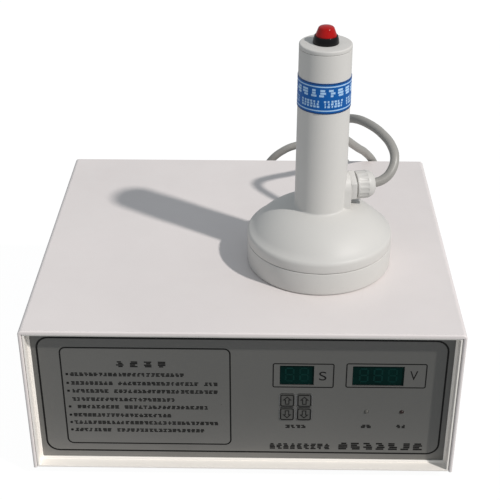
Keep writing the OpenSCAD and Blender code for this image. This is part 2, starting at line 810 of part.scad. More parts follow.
module power_switch() {
    color(black_plastic) translate([inlet_x, 0, switch_z]) difference() {
        union() {
            along_y(case_d, switch_flange) rounded(switch_w + 2.4, switch_hh + 2.4, 1.2);
            along_y(case_d - switch_depth, switch_depth + 0.1) square([switch_w, switch_hh], center = true);
        }
        along_y(pivot_y - 6, 12)
            square([rocker_w + 2 * fit, 2 * rocker_half + 2 * 0.9], center = true);
        translate([0, pivot_y, 0]) rotate([0, 90, 0])
            cylinder(h = rocker_w + 2.4, r = rocker_pin_r + 0.1, center = true);
    }
}
module power_rocker() {
    color(black_plastic) translate([inlet_x, pivot_y, switch_z]) rotate([-rocker_tilt, 0, 0]) {
        rotate([90, 0, 90]) linear_extrude(rocker_w, center = true)
            polygon([
                [rocker_crest, -rocker_half], [rocker_dip, 0], [rocker_crest, rocker_half],
                [-2, rocker_half - 0.4], [-rocker_deep, rocker_half - 3],
                [-rocker_deep, -rocker_half + 3], [-2, -rocker_half + 0.4]
            ]);
        rotate([0, 90, 0]) cylinder(h = rocker_w + 2, r = rocker_pin_r, center = true);
    }
}
module fuse_holder() {
    color(black_plastic) difference() {
        union() {
            rod_y(fuse_x, fuse_z, case_d - fuse_len, fuse_len + 0.1, fuse_r);
            rod_y(fuse_x, fuse_z, case_d, fuse_flange_t, fuse_flange_r);
            rod_y(fuse_x, fuse_z, case_d + 0.1, fuse_cap_h - 0.1, fuse_cap_r);
        }
        translate([fuse_x, case_d + fuse_cap_h, fuse_z])
            cube([fuse_slot_w, 2 * fuse_slot_d, 3 * fuse_cap_r], center = true);
        for (i = [0:fuse_grip_count - 1])
            translate([fuse_x, 0, fuse_z]) rotate([0, i * 360 / fuse_grip_count, 0])
                rod_y(fuse_cap_r + fuse_grip_r / 2, 0, case_d + fuse_flange_t + 1, fuse_cap_h, fuse_grip_r);
    }
}

// Glands, along X from their mounting face
module gland_body() {
    color(nylon) rotate([0, 90, 0]) difference() {
        union() {
            translate([0, 0, -gland_thread_len]) cylinder(h = gland_thread_len + 0.1, r = gland_thread_r);
            cylinder(h = gland_hex_t, d = gland_af / cos(30), $fn = 6);
            cylinder(h = gland_hex_t + gland_gap + gland_neck_lap, r = gland_neck_r);
        }
        translate([0, 0, -gland_thread_len - 1])
            cylinder(h = gland_thread_len + gland_len, r = gland_bore_r);
    }
}
module gland_nut() {
    from = gland_hex_t + gland_gap;
    crown = gland_len - gland_crown;
    well = from + gland_neck_lap + fit;
    color(nylon) rotate([0, 90, 0]) difference() {
        rotate_extrude() polygon(concat(
            [[gland_neck_r + 0.1, from], [gland_nut_r - 0.4, from], [gland_nut_r, from + 0.4]],
            bulged([gland_nut_r, crown], [gland_nut_r - gland_round, gland_len], 1.2, 5),
            [[gland_mouth_r, gland_len], [gland_mouth_r, well + 0.6], [gland_neck_r + 0.1, well]]
        ));
        for (i = [0:flute_count - 1]) rotate([0, 0, i * 360 / flute_count])
            translate([gland_nut_r + 0.7, 0, from + flute_r])
                cylinder(h = crown - from - flute_r / 2, r = flute_r, $fn = 16);
    }
}
module gland_locknut(thick) {
    color(nylon) rotate([0, 90, 0]) translate([0, 0, -thick - locknut_t]) difference() {
        cylinder(h = locknut_t, d = (gland_af - 1) / cos(30), $fn = 6);
        translate([0, 0, -1]) cylinder(h = locknut_t + 2, r = gland_thread_r + 0.1);
    }
}
module head_gland_body() { at_head_gland() gland_body(); }
module head_gland_nut() { at_head_gland() gland_nut(); }
module rear_gland_body() { at_rear_gland() gland_body(); }
module rear_gland_nut() { at_rear_gland() gland_nut(); }
module rear_gland_locknut() { at_rear_gland() gland_locknut(sheet); }

// Power electronics
module power_board() {
    w = power_board_x1 - power_board_x0;
    color(board_green) difference() {
        translate([power_board_x0 + w / 2, power_board_y0 + power_board_d / 2, power_board_z])
            linear_extrude(board_t) rounded(w, power_board_d, 2);
        for (p = power_board_holes)
            translate([p[0], p[1], power_board_z - 1]) cylinder(h = board_t + 2, r = stud_hole_r);
    }
}
module heat_sink() {
    fin_pitch = (sink_w - sink_wall) / fin_count;
    color(bare_metal) translate([sink_face - sink_w, sink_y0, floor_top]) {
        cube([sink_w, sink_d, sink_base]);
        for (i = [0:fin_count - 1])
            translate([i * fin_pitch, 0, sink_base - 0.1]) cube([fin_t, sink_d, sink_h - sink_base]);
        translate([sink_w - sink_wall, 0, sink_base - 0.1])
            cube([sink_wall, sink_d, sink_h - sink_base]);
    }
}
module power_transistors() {
    first = sink_y0 + (sink_d - transistor_w - (transistor_count - 1) * transistor_pitch) / 2;
    leg_pitch = transistor_w * 0.275;
    color(black_plastic) for (i = [0:transistor_count - 1])
        translate([
            sink_face, first + i * transistor_pitch, floor_top + sink_h - transistor_h - transistor_t
        ]) {
            cube([transistor_t, transistor_w, transistor_h]);
            for (leg = [-1:1])
                translate([transistor_t * 0.4, transistor_w / 2 + leg * leg_pitch, -transistor_legs])
                    cube([0.8, 1.2, transistor_legs + 0.5]);
        }
}
module bridge_rectifier() {
    color(black_plastic)
        translate([fan_x, sink_y0 - rectifier_gap - rectifier_w / 2, floor_top]) difference() {
            union() {
                linear_extrude(rectifier_h) rounded(rectifier_w, rectifier_w, 1);
                for (sx = [-1, 1]) for (sy = [-1, 1])
                    translate([sx * rectifier_w / 3, sy * rectifier_w / 3, rectifier_h * 1.45])
                        cube([terminal_t, terminal_w, rectifier_h * 1.1], center = true);
            }
            translate([0, 0, -1]) cylinder(h = rectifier_h + 2, r = rectifier_hole_r);
        }
}
module filter_capacitors() {
    neck = can_h * 0.12;
    color([0.12, 0.14, 0.24]) for (i = [0, 1])
        translate([can_x, can_y + i * can_pitch, power_top]) rotate_extrude() polygon([
            [0, 0], [can_r - 0.6, 0], [can_r, 0.6], [can_r, neck - 1], [can_r - can_groove, neck],
            [can_r, neck + 1], [can_r, can_h - 1], [can_r - 1, can_h], [can_r - 2.4, can_h - 0.6],
            [0, can_h - 0.6]
        ]);
}
module resonant_capacitor() {
    color([0.75, 0.62, 0.22]) translate([film_cap_x, film_cap_y, power_top])
        linear_extrude(film_cap_h) rounded(film_cap_w, film_cap_d, 2);
}
module transformer_core() {
    color([0.18, 0.18, 0.19]) translate([core_x, core_y, power_top]) along_y(-core_d / 2, core_d)
        translate([0, core_h / 2]) difference() {
            square([core_w, core_h], center = true);
            for (side = [-1, 1]) translate([side * (core_leg + core_window) / 2, 0])
                square([core_window, core_h - 2 * core_yoke], center = true);
        }
}
module transformer_winding() {
    color([0.62, 0.34, 0.14]) translate([core_x, core_y, power_top + core_yoke + fit])
        linear_extrude(core_h - 2 * core_yoke - 2 * fit) difference() {
            rounded(core_leg + 2 * core_window - 1, core_d + 2 * core_window - 1, 5);
            square([core_leg + 2 * fit, core_d + 2 * fit], center = true);
        }
}

// Sealing head, upwards from the case's top
module head_housing() {
    low = disc_h + seam;
    outer = concat(
        [[0, low], [disc_r - edge, low], [disc_r, low + edge]],
        round_points([disc_r - rim_r, rim_h - rim_r], rim_r, 0, rim_sweep, 4),
        bulged([disc_r - rim_r, rim_h], [handle_r, shoulder_h], dome_bulge, 8),
        [[handle_top_r, tube_top], [0, tube_top]]
    );
    inner = concat(
        [[0, low - 1], [disc_r - wall, low - 1], [disc_r - wall, rim_h - wall]],
        bulged([disc_r - wall - 2, rim_h - wall + 1], [handle_r - wall, shoulder_h - wall], dome_bulge, 4),
        [[handle_r - wall, shoulder_h], [handle_top_r - wall, tube_top + 1], [0, tube_top + 1]]
    );
    color(nylon) at_head() rotate([0, 0, gland_turn]) difference() {
        union() {
            rotate([0, 0, 180]) rotate_extrude($fn = 96) polygon(outer);
            translate([boss_from, 0, gland_h]) rotate([0, 90, 0])
                cylinder(h = boss_face - boss_from, r = boss_r);
            translate([boss_from, -boss_r, shoulder_h - wall])
                cube([boss_face - boss_from, 2 * boss_r, gland_h - shoulder_h + wall]);
        }
        rotate([0, 0, 180]) rotate_extrude($fn = 96) polygon(inner);
        translate([boss_from, 0, gland_h]) rotate([0, 90, 0])
            cylinder(h = boss_face, r = gland_thread_r + 0.1);
    }
}
module handle_cap() {
    spigot_r = handle_top_r - wall - fit;
    color(nylon) at_head() translate([0, 0, tube_top]) rotate_extrude() polygon(concat(
        [[barrel_r + 0.1, 0.1], [spigot_r - cap_spigot_t, 0.1], [spigot_r - cap_spigot_t, -cap_spigot_h]],
        [[spigot_r, -cap_spigot_h], [spigot_r, 0.1]],
        [[handle_top_r - edge, 0.1], [handle_top_r, 0.1 + edge]],
        round_points([handle_top_r - 1, cap_t - 1], 1, 0, 90, 4),
        [[barrel_r + 0.1, cap_t]]
    ));
}
function handle_radius(h) =
    handle_r + (handle_top_r - handle_r) * (h - shoulder_h) / (tube_top - shoulder_h);
module label_band() {
    low = handle_radius(label_low) + 0.05;
    high = handle_radius(label_low + label_h) + 0.05;
    color([0.05, 0.25, 0.6]) at_head() rotate_extrude() polygon([
        [low, label_low], [low + label_t, label_low], [high + label_t, label_low + label_h],
        [high, label_low + label_h]
    ]);
}
module button_collar() {
    bore = stem_r + fit;
    well = lens_r + fit;
    color(black_plastic) at_head() translate([0, 0, handle_h]) rotate_extrude() polygon([
        [bore, -barrel_len], [barrel_r, -barrel_len], [barrel_r, 0], [collar_r, 0],
        [collar_r - collar_taper, collar_h], [well, collar_h], [well, collar_floor], [bore, collar_floor]
    ]);
}
module button_lens() {
    low = collar_h - lens_lap;
    top = collar_h + lens_h;
    color([0.75, 0.08, 0.06]) at_head() translate([0, 0, handle_h]) rotate_extrude() polygon([
        [0, -stem_len], [stem_r, -stem_len], [stem_r, low], [lens_r, low], [lens_r, collar_h + 0.8],
        [lens_top_r + 0.3, top - 0.8], [lens_top_r - 0.4, top], [0, top]
    ]);
}
module button_locknut() {
    color(bare_metal) at_head() translate([0, 0, tube_top - nut_t]) difference() {
        cylinder(h = nut_t, d = nut_af / cos(30), $fn = 6);
        translate([0, 0, -1]) cylinder(h = nut_t + 2, r = barrel_r + 0.1);
    }
}
module button_switch() {
    color(black_plastic) at_head() translate([0, 0, handle_h - barrel_len - micro_h]) {
        cylinder(h = micro_h, r = barrel_r + 1);
        for (side = [-1, 1]) translate([side * barrel_r / 2, 0, (0.1 - micro_tail) / 2])
            cube([terminal_t, terminal_w / 2, micro_tail + 0.1], center = true);
    }
}
module coil_cover() {
    spigot_r = disc_r - wall - fit;
    color(nylon) at_head() rotate_extrude($fn = 96) polygon(concat(
        [[0, 0]], round_points([disc_r - rim_r, rim_r], rim_r, -90, 0, 5),
        [[disc_r, disc_h - edge], [disc_r - edge, disc_h], [spigot_r, disc_h]],
        [[spigot_r, disc_h + spigot_h], [spigot_r - spigot_t, disc_h + spigot_h]],
        [[spigot_r - spigot_t, cover_floor], [0, cover_floor]]
    ));
}
module coil_former() {
    color([0.8, 0.78, 0.7]) at_head() translate([0, 0, cover_floor]) {
        cylinder(h = former_t, r = former_r);
        cylinder(h = former_t + 2 * wire_coil_r + ferrite_t + 2, r = coil_first_r - wire_coil_r - fit);
    }
}
module induction_coil() {
    color([0.72, 0.4, 0.18]) at_head() translate([0, 0, cover_floor + former_t + wire_coil_r])
        rotate_extrude() for (i = [0:coil_turns - 1])
            translate([coil_first_r + i * wire_coil_pitch, 0]) circle(wire_coil_r, $fn = 20);
}
module ferrite_bars() {
    low = cover_floor + former_t + 2 * wire_coil_r;
    from = coil_first_r - wire_coil_r;
    color([0.15, 0.15, 0.16]) at_head() for (i = [0:ferrite_count - 1])
        rotate([0, 0, 30 + i * 360 / ferrite_count])
            translate([from, -ferrite_w / 2, low]) cube([former_r - 2 - from, ferrite_w, ferrite_t]);
}

// Cable
function unit(v) = v / norm(v);
function directions(p) = [for (i = [0:len(p) - 1])
    unit(p[min(i + 1, len(p) - 1)] - p[max(i - 1, 0)])];
function across(n, t) = unit(n - (n * t) * t);
module tube(p) {
    t = directions(p);
    n = [for (i = 0, a = across([0.2, 0.3, 1], t[0]); i < len(p);
        i = i + 1, a = across(a, t[min(i, len(p) - 1)])) a];
    points = [for (i = [0:len(p) - 1]) for (k = [0:cable_sides - 1])
        let (a = 360 * k / cable_sides)
            p[i] + cable_r * (cos(a) * n[i] + sin(a) * cross(t[i], n[i]))];
    last = (len(p) - 1) * cable_sides;
    walls = [for (i = [0:len(p) - 2]) for (k = [0:cable_sides - 1])
        let (a = i * cable_sides, b = a + cable_sides, m = (k + 1) % cable_sides)
            [a + k, b + k, b + m, a + m]];
    start = [for (k = [0:cable_sides - 1]) k];
    end = [for (k = [0:cable_sides - 1]) last + cable_sides - 1 - k];
    polyhedron(points, concat(walls, [start, end]), convexity = 6);
}
module cable_from_head() { color(cable_grey) tube(from_head); }
module cable_to_case() { color(cable_grey) tube(to_case); }
module cable_coil() {
    color(cable_grey) translate([coil_x, coil_y, floor_z]) rotate_extrude()
        translate([coil_mid_r, cable_d]) rounded(2 * cable_d, 2 * cable_d, cable_r);
}

in_place() case_cover();
in_place() base_tray();
in_place() front_frame();
in_place() front_plate();
in_place() panel_film();
in_place() time_window();
in_place() volt_window();
in_place() time_digits();
in_place() volt_digits();
in_place() key_tens_up();
in_place() key_units_up();
in_place() key_tens_down();
in_place() key_units_down();
in_place() key_switches();
in_place() control_board();
in_place() work_lamp();
in_place() ready_lamp();
in_place() board_spacers();
in_place() rear_panel();
in_place() fan_frame();
in_place() fan_rotor();
in_place() fan_guard();
in_place() fan_screws();
in_place() mains_inlet();
in_place() inlet_pins();
in_place() power_switch();
in_place() power_rocker();
in_place() fuse_holder();
in_place() rear_gland_body();
in_place() rear_gland_nut();
in_place() rear_gland_locknut();
in_place() power_board();
in_place() heat_sink();
in_place() power_transistors();
in_place() bridge_rectifier();
in_place() filter_capacitors();
in_place() resonant_capacitor();
in_place() transformer_core();
in_place() transformer_winding();
in_place() rubber_feet();
in_place() case_screws();
in_place() head_housing();
in_place() handle_cap();
in_place() label_band();
in_place() button_collar();
in_place() button_lens();
in_place() button_locknut();
in_place() button_switch();
in_place() head_gland_body();
in_place() head_gland_nut();
in_place() coil_cover();
in_place() coil_former();
in_place() induction_coil();
in_place() ferrite_bars();
in_place() cable_from_head();
in_place() cable_coil();
in_place() cable_to_case();
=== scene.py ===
"""Dresses the induction cap sealer: its case, panel, sealing head, cable and rear fittings."""

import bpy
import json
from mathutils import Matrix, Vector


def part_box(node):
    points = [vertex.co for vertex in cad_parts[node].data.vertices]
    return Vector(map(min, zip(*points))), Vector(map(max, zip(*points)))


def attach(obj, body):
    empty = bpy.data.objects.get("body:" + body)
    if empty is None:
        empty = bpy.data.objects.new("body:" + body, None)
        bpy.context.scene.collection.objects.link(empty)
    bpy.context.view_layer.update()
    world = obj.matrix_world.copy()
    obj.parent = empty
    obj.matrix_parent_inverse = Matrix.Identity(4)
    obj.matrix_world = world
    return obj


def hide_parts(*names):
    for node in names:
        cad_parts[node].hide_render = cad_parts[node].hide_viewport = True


bl_info = {
    "name": "Induction cap sealer",
    "version": (1, 0, 0),
    "blender": (4, 5, 0),
    "location": "View3D > Sidebar > Sealer",
    "description": "Makes the finished pieces of an induction cap sealer round its solids",
    "category": "Object",
}

import json
import math
import random
from functools import cache, reduce

import bmesh
import bpy
from bpy.props import FloatProperty, FloatVectorProperty, IntProperty, PointerProperty
from mathutils import Matrix, Vector

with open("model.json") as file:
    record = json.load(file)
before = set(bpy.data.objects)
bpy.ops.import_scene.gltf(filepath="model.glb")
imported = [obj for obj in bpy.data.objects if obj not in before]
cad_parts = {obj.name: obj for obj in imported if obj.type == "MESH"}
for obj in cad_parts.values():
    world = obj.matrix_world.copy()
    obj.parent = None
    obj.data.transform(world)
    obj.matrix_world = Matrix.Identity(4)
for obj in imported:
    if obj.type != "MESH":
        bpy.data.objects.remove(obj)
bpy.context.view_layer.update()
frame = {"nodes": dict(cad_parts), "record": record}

MM = 0.001
ROOT = "power_unit"
BODY_OF = {n: b for b, nodes in frame["record"]["behaviour"]["bodies"].items() for n in nodes}


def middle_of(node):
    """The middle of a node's box."""
    low, high = (Vector(c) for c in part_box(node))
    return (low + high) / 2


# Places in the frame. The case's millimetres start at the middle of its front lower edge.
COVER_LOW, COVER_HIGH = (Vector(c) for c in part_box("case_cover"))
CASE = Vector((0, COVER_LOW.y, COVER_LOW.z))
HEAD = Vector((*middle_of("coil_cover").xy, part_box("coil_cover")[0][2]))


def front_of(node):
    """The depth of a node's front face, in the case's millimetres."""
    return (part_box(node)[0][1] - CASE.y) / MM


def at(x, y, z):
    """A place in the case's millimetres, as a point of the frame."""
    return CASE + Vector((x, y, z)) * MM


def srgb(red, green, blue):
    """A colour as seen, 0 to 255, in linear light."""
    def lin(c):
        c /= 255
        return c / 12.92 if c <= 0.04045 else ((c + 0.055) / 1.055) ** 2.4
    return lin(red), lin(green), lin(blue)


# Settings

def colour(name, note, red, green, blue):
    return FloatVectorProperty(name=name, description=note, subtype="COLOR", size=3, min=0, max=1,
                               default=srgb(red, green, blue))


class SealerColours(bpy.types.PropertyGroup):
    """Colours of the sealer's finishes."""
    case_paint: colour("Case paint", "Powder paint of the cover and the rear panel", 229, 222, 220)
    frame_paint: colour("Frame paint", "Cream paint of the front frame", 248, 243, 236)
    # The tray's dark grey is its paint, and is also made dark to stand in for painted shade under the case's front
    # edge
    tray_paint: colour("Tray paint", "Dark paint of the base tray", 48, 47, 48)
    film: colour("Panel film", "Grey of the printed front film", 80, 80, 77)
    ink: colour("Ink", "Black print on the film", 13, 12, 11)
    window: colour("Window", "Green of the display filters", 1, 35, 32)
    nylon: colour("Head plastic", "Off-white plastic of the head and glands", 207, 205, 201)
    label: colour("Label", "Blue of the handle's label", 0, 96, 178)
    label_print: colour("Label print", "Pale print on the label", 176, 214, 250)
    lens: colour("Button lens", "Red of the button", 190, 8, 4)
    cable: colour("Cable", "Grey of the cable's sheath", 158, 156, 151)
    black: colour("Black plastic", "Black plastic of collars and rear fittings", 27, 25, 27)


class SealerSizes(bpy.types.PropertyGroup):
    """Sizes of the sealer's finishes, and its light."""
    print_t: FloatProperty(name="Print thickness", description="How far print stands proud", default=0.05 * MM,
                           min=0.01 * MM, max=0.2 * MM, unit="LENGTH", precision=6)
    edge_r: FloatProperty(name="Edge radius", description="Rounding of sheet and moulded edges",
                          default=0.3 * MM, min=0.05 * MM, max=0.6 * MM, unit="LENGTH", precision=6)
    turns: IntProperty(name="Turn steps", description="Steps round a turned piece", default=96, min=48, max=160)
    cable_d: FloatProperty(name="Cable diameter", description="Outside diameter of the cable",
                           default=6.5 * MM, min=5 * MM, max=8 * MM, unit="LENGTH", precision=6)
    sun_angle: FloatProperty(name="Light softness", description="Apparent width of the main lamp",
                             default=math.radians(2.5), min=0, max=math.radians(30), subtype="ANGLE")
    sun_power: FloatProperty(name="Light strength", description="Strength of the main lamp", default=2.65,
                             min=0, max=6)
    fill_power: FloatProperty(name="Fill strength", description="Strength of the light from all round",
                              default=0.43, min=0, max=1.5)


def colours():
    return bpy.context.scene.sealer_colours


def sizes():
    return bpy.context.scene.sealer_sizes


# Shared shader groups

# Half the panel's width in metres, over which the painted reflection on the film grows brighter towards the left
PANEL_SIDE = 0.13


def node_group(name, tints, values, masks=()):
    """A new shader group that takes a place, colours and values: its tree, inputs and outputs."""
    tree = bpy.data.node_groups.new(name, "ShaderNodeTree")

    def socket(label, kind, default=None, side="INPUT"):
        made = tree.interface.new_socket(name=label, in_out=side, socket_type=kind)
        if default is not None:
            made.default_value = default

    socket("Vector", "NodeSocketVector")
    for label, tint in tints.items():
        socket(label, "NodeSocketColor", (*tint, 1))
    for label, value in values.items():
        socket(label, "NodeSocketFloat", value)
    socket("Color", "NodeSocketColor", side="OUTPUT")
    for label in masks:
        socket(label, "NodeSocketFloat", side="OUTPUT")
    return tree, tree.nodes.new("NodeGroupInput").outputs, tree.nodes.new("NodeGroupOutput").inputs


def fed(tree, socket, value):
    """Sets a socket to a number or a colour, or links another socket to it."""
    if isinstance(value, (int, float, tuple)):
        socket.default_value = value
    else:
        tree.links.new(value, socket)


def noise(tree, vector, scale, detail, rough=0.5):
    """A noise texture. The scale is a number, or a socket."""
    node = tree.nodes.new("ShaderNodeTexNoise")
    for label, value in (("Vector", vector), ("Scale", scale), ("Detail", detail), ("Roughness", rough)):
        fed(tree, node.inputs[label], value)
    return node.outputs["Fac"]


def math_node(tree, kind, a, b):
    """A sum, product or the like of two sockets or numbers."""
    node = tree.nodes.new("ShaderNodeMath")
    node.operation = kind
    for socket, value in zip(node.inputs, (a, b)):
        fed(tree, socket, value)
    return node.outputs[0]


def product(tree, first, *others):
    """Sockets or numbers multiplied together."""
    for other in others:
        first = math_node(tree, "MULTIPLY", first, other)
    return first


def ranged(tree, value, low, high, to_low, to_high):
    """A value mapped from one range to another, held at its ends."""
    node = tree.nodes.new("ShaderNodeMapRange")
    for label, number in (("Value", value), ("From Min", low), ("From Max", high), ("To Min", to_low),
                          ("To Max", to_high)):
        fed(tree, node.inputs[label], number)
    return node.outputs["Result"]


def mixed(tree, fac, a, b, blend="MIX"):
    """Two colours mixed by a factor."""
    node = tree.nodes.new("ShaderNodeMix")
    node.data_type = "RGBA"
    node.blend_type = blend
    for index, value in ((0, fac), (6, a), (7, b)):
        fed(tree, node.inputs[index], value)
    return node.outputs[2]


def along(tree, vector):
    """The three coordinates of a vector."""
    node = tree.nodes.new("ShaderNodeSeparateXYZ")
    tree.links.new(vector, node.inputs[0])
    return node.outputs


def laid_over(tree, start, end, label, *masks):
    """Ends a group: its second colour covers its first by the product of the masks and the amount."""
    cover = product(tree, *masks, start["Amount"])
    tree.links.new(mixed(tree, cover, start["Color"], start[label]), end["Color"])
    return tree


@cache
def surface_grain():
    """Blotches, roughness and fine grain of a painted or moulded surface."""
    tree, start, end = node_group("surface_grain", {"Color": (0.8, 0.8, 0.8)}, {
        "Shade": 0.05, "Blotch Scale": 14.0, "Roughness": 0.4, "Rough Spread": 0.08, "Grain Scale": 900.0,
    }, ("Roughness", "Height"))
    place = start["Vector"]
    blotch = noise(tree, place, start["Blotch Scale"], 4.0, 0.55)
    shade = ranged(tree, blotch, 0.3, 0.7, math_node(tree, "SUBTRACT", 1.0, start["Shade"]), 1.0)
    grey = tree.nodes.new("ShaderNodeCombineColor")
    for channel in ("Red", "Green", "Blue"):
        tree.links.new(shade, grey.inputs[channel])
    tree.links.new(mixed(tree, 1.0, start["Color"], grey.outputs[0], "MULTIPLY"), end["Color"])
    smear = math_node(tree, "SUBTRACT", noise(tree, place, 60.0, 3.0, 0.6), 0.5)
    spread = product(tree, smear, start["Rough Spread"], 2.0)
    tree.links.new(math_node(tree, "ADD", start["Roughness"], spread), end["Roughness"])
    tree.links.new(noise(tree, place, start["Grain Scale"], 2.0), end["Height"])
    return tree


@cache
def settled_dust():
    """Fine dust that lies on faces that look up, thicker in patches."""
    tree, start, end = node_group("settled_dust", {"Color": (0.5, 0.5, 0.5), "Dust": (0.55, 0.52, 0.48)},
                                  {"Amount": 0.15})
    normal = tree.nodes.new("ShaderNodeNewGeometry").outputs["Normal"]
    up = ranged(tree, along(tree, normal)["Z"], 0.2, 1.0, 0.0, 1.0)
    patches = ranged(tree, noise(tree, start["Vector"], 45.0, 5.0, 0.65), 0.35, 0.7, 0.15, 1.0)
    return laid_over(tree, start, end, "Dust", up, patches)


@cache
def worn_edges():
    """Paler wear where a surface turns a corner."""
    tree, start, end = node_group("worn_edges", {"Color": (0.5, 0.5, 0.5), "Worn": (0.7, 0.7, 0.7)},
                                  {"Amount": 0.3})
    point = tree.nodes.new("ShaderNodeNewGeometry").outputs["Pointiness"]
    edge = ranged(tree, point, 0.52, 0.6, 0.0, 1.0)
    patches = ranged(tree, noise(tree, start["Vector"], 90.0, 4.0, 0.6), 0.4, 0.65, 0.0, 1.0)
    return laid_over(tree, start, end, "Worn", edge, patches)


@cache
def panel_haze():
    """Painted reflection: a pale sheen that fades upwards from the panel's lower edge and is stronger on the left,
    plus painted light that makes the whole panel brighter towards the left.
    """
    tree, start, end = node_group("panel_haze", {"Color": (0.1, 0.1, 0.1), "Haze": (0.46, 0.44, 0.41)},
                                  {"Amount": 0.25, "Low": 0.01, "High": 0.1})
    place = along(tree, start["Vector"])
    # painted reflection: strongest at the panel's lower edge, fading upwards, stronger on the left
    rise = ranged(tree, place["Z"], start["Low"], start["High"], 1.0, 0.0)
    side = ranged(tree, place["X"], -PANEL_SIDE, PANEL_SIDE, 1.0, 0.65)
    # painted light: the whole panel is brighter towards the left
    painted_side_light = ranged(tree, place["X"], -PANEL_SIDE, PANEL_SIDE, 0.26, 0.0)
    painted_reflection_mask = math_node(tree, "ADD", product(tree, math_node(tree, "POWER", rise, 3.5), side), painted_side_light)
    patches = ranged(tree, noise(tree, start["Vector"], 16.0, 3.0), 0.3, 0.7, 0.8, 1.0)
    return laid_over(tree, start, end, "Haze", painted_reflection_mask, patches)


# Finishes

def scaled(tint, factor=1.0, lift=0.0):
    return tuple(min(1, c * factor + lift) for c in tint)


def new_material(name):
    """A new material, its node tree and its shader's sockets."""
    mat = bpy.data.materials.new(name)
    mat.use_nodes = True
    return mat, mat.node_tree, mat.node_tree.nodes["Principled BSDF"].inputs


def made(name, tint, rough, shade=0.06, blotch=14.0, spread=0.06, grain=900.0, bump=0.03, depth=0.05,
         metallic=0.0, coat=0.0, coat_rough=0.1, dust=0.0, wear=0.0, haze=0.0, specular=0.5):
    """A material from the shared groups: colour, gloss, grain, dust and wear of one finish, and a painted
    reflection where one is asked for.
    """
    mat, tree, shader = new_material(name)
    place = tree.nodes.new("ShaderNodeTexCoord").outputs["Object"]

    def add(group, **values):
        node = tree.nodes.new("ShaderNodeGroup")
        node.node_tree = group()
        tree.links.new(place, node.inputs["Vector"])
        for label, value in values.items():
            fed(tree, node.inputs[label.replace("_", " ")], value)
        return node.outputs

    base = add(surface_grain, Color=(*tint, 1), Shade=shade, Blotch_Scale=blotch, Roughness=rough,
               Rough_Spread=spread, Grain_Scale=grain)
    result = base["Color"]
    if wear:
        result = add(worn_edges, Color=result, Worn=(*scaled(tint, 1.8, 0.08), 1), Amount=wear)["Color"]
    # painted reflection on the film, lighter towards its lower left, standing in for the floor mirrored in it
    if haze:
        result = add(panel_haze, Color=result, Amount=haze, Low=COVER_LOW.z + 0.003, High=COVER_HIGH.z)["Color"]
    if dust:
        result = add(settled_dust, Color=result, Amount=dust)["Color"]
    tree.links.new(result, shader["Base Color"])
    tree.links.new(base["Roughness"], shader["Roughness"])
    if bump:
        lift = tree.nodes.new("ShaderNodeBump")
        lift.inputs["Strength"].default_value = bump
        lift.inputs["Distance"].default_value = depth * MM
        tree.links.new(base["Height"], lift.inputs["Height"])
        tree.links.new(lift.outputs["Normal"], shader["Normal"])
    for label, value in (("Metallic", metallic), ("Coat Weight", coat), ("Coat Roughness", coat_rough),
                         ("Specular IOR Level", specular)):
        shader[label].default_value = value
    return mat


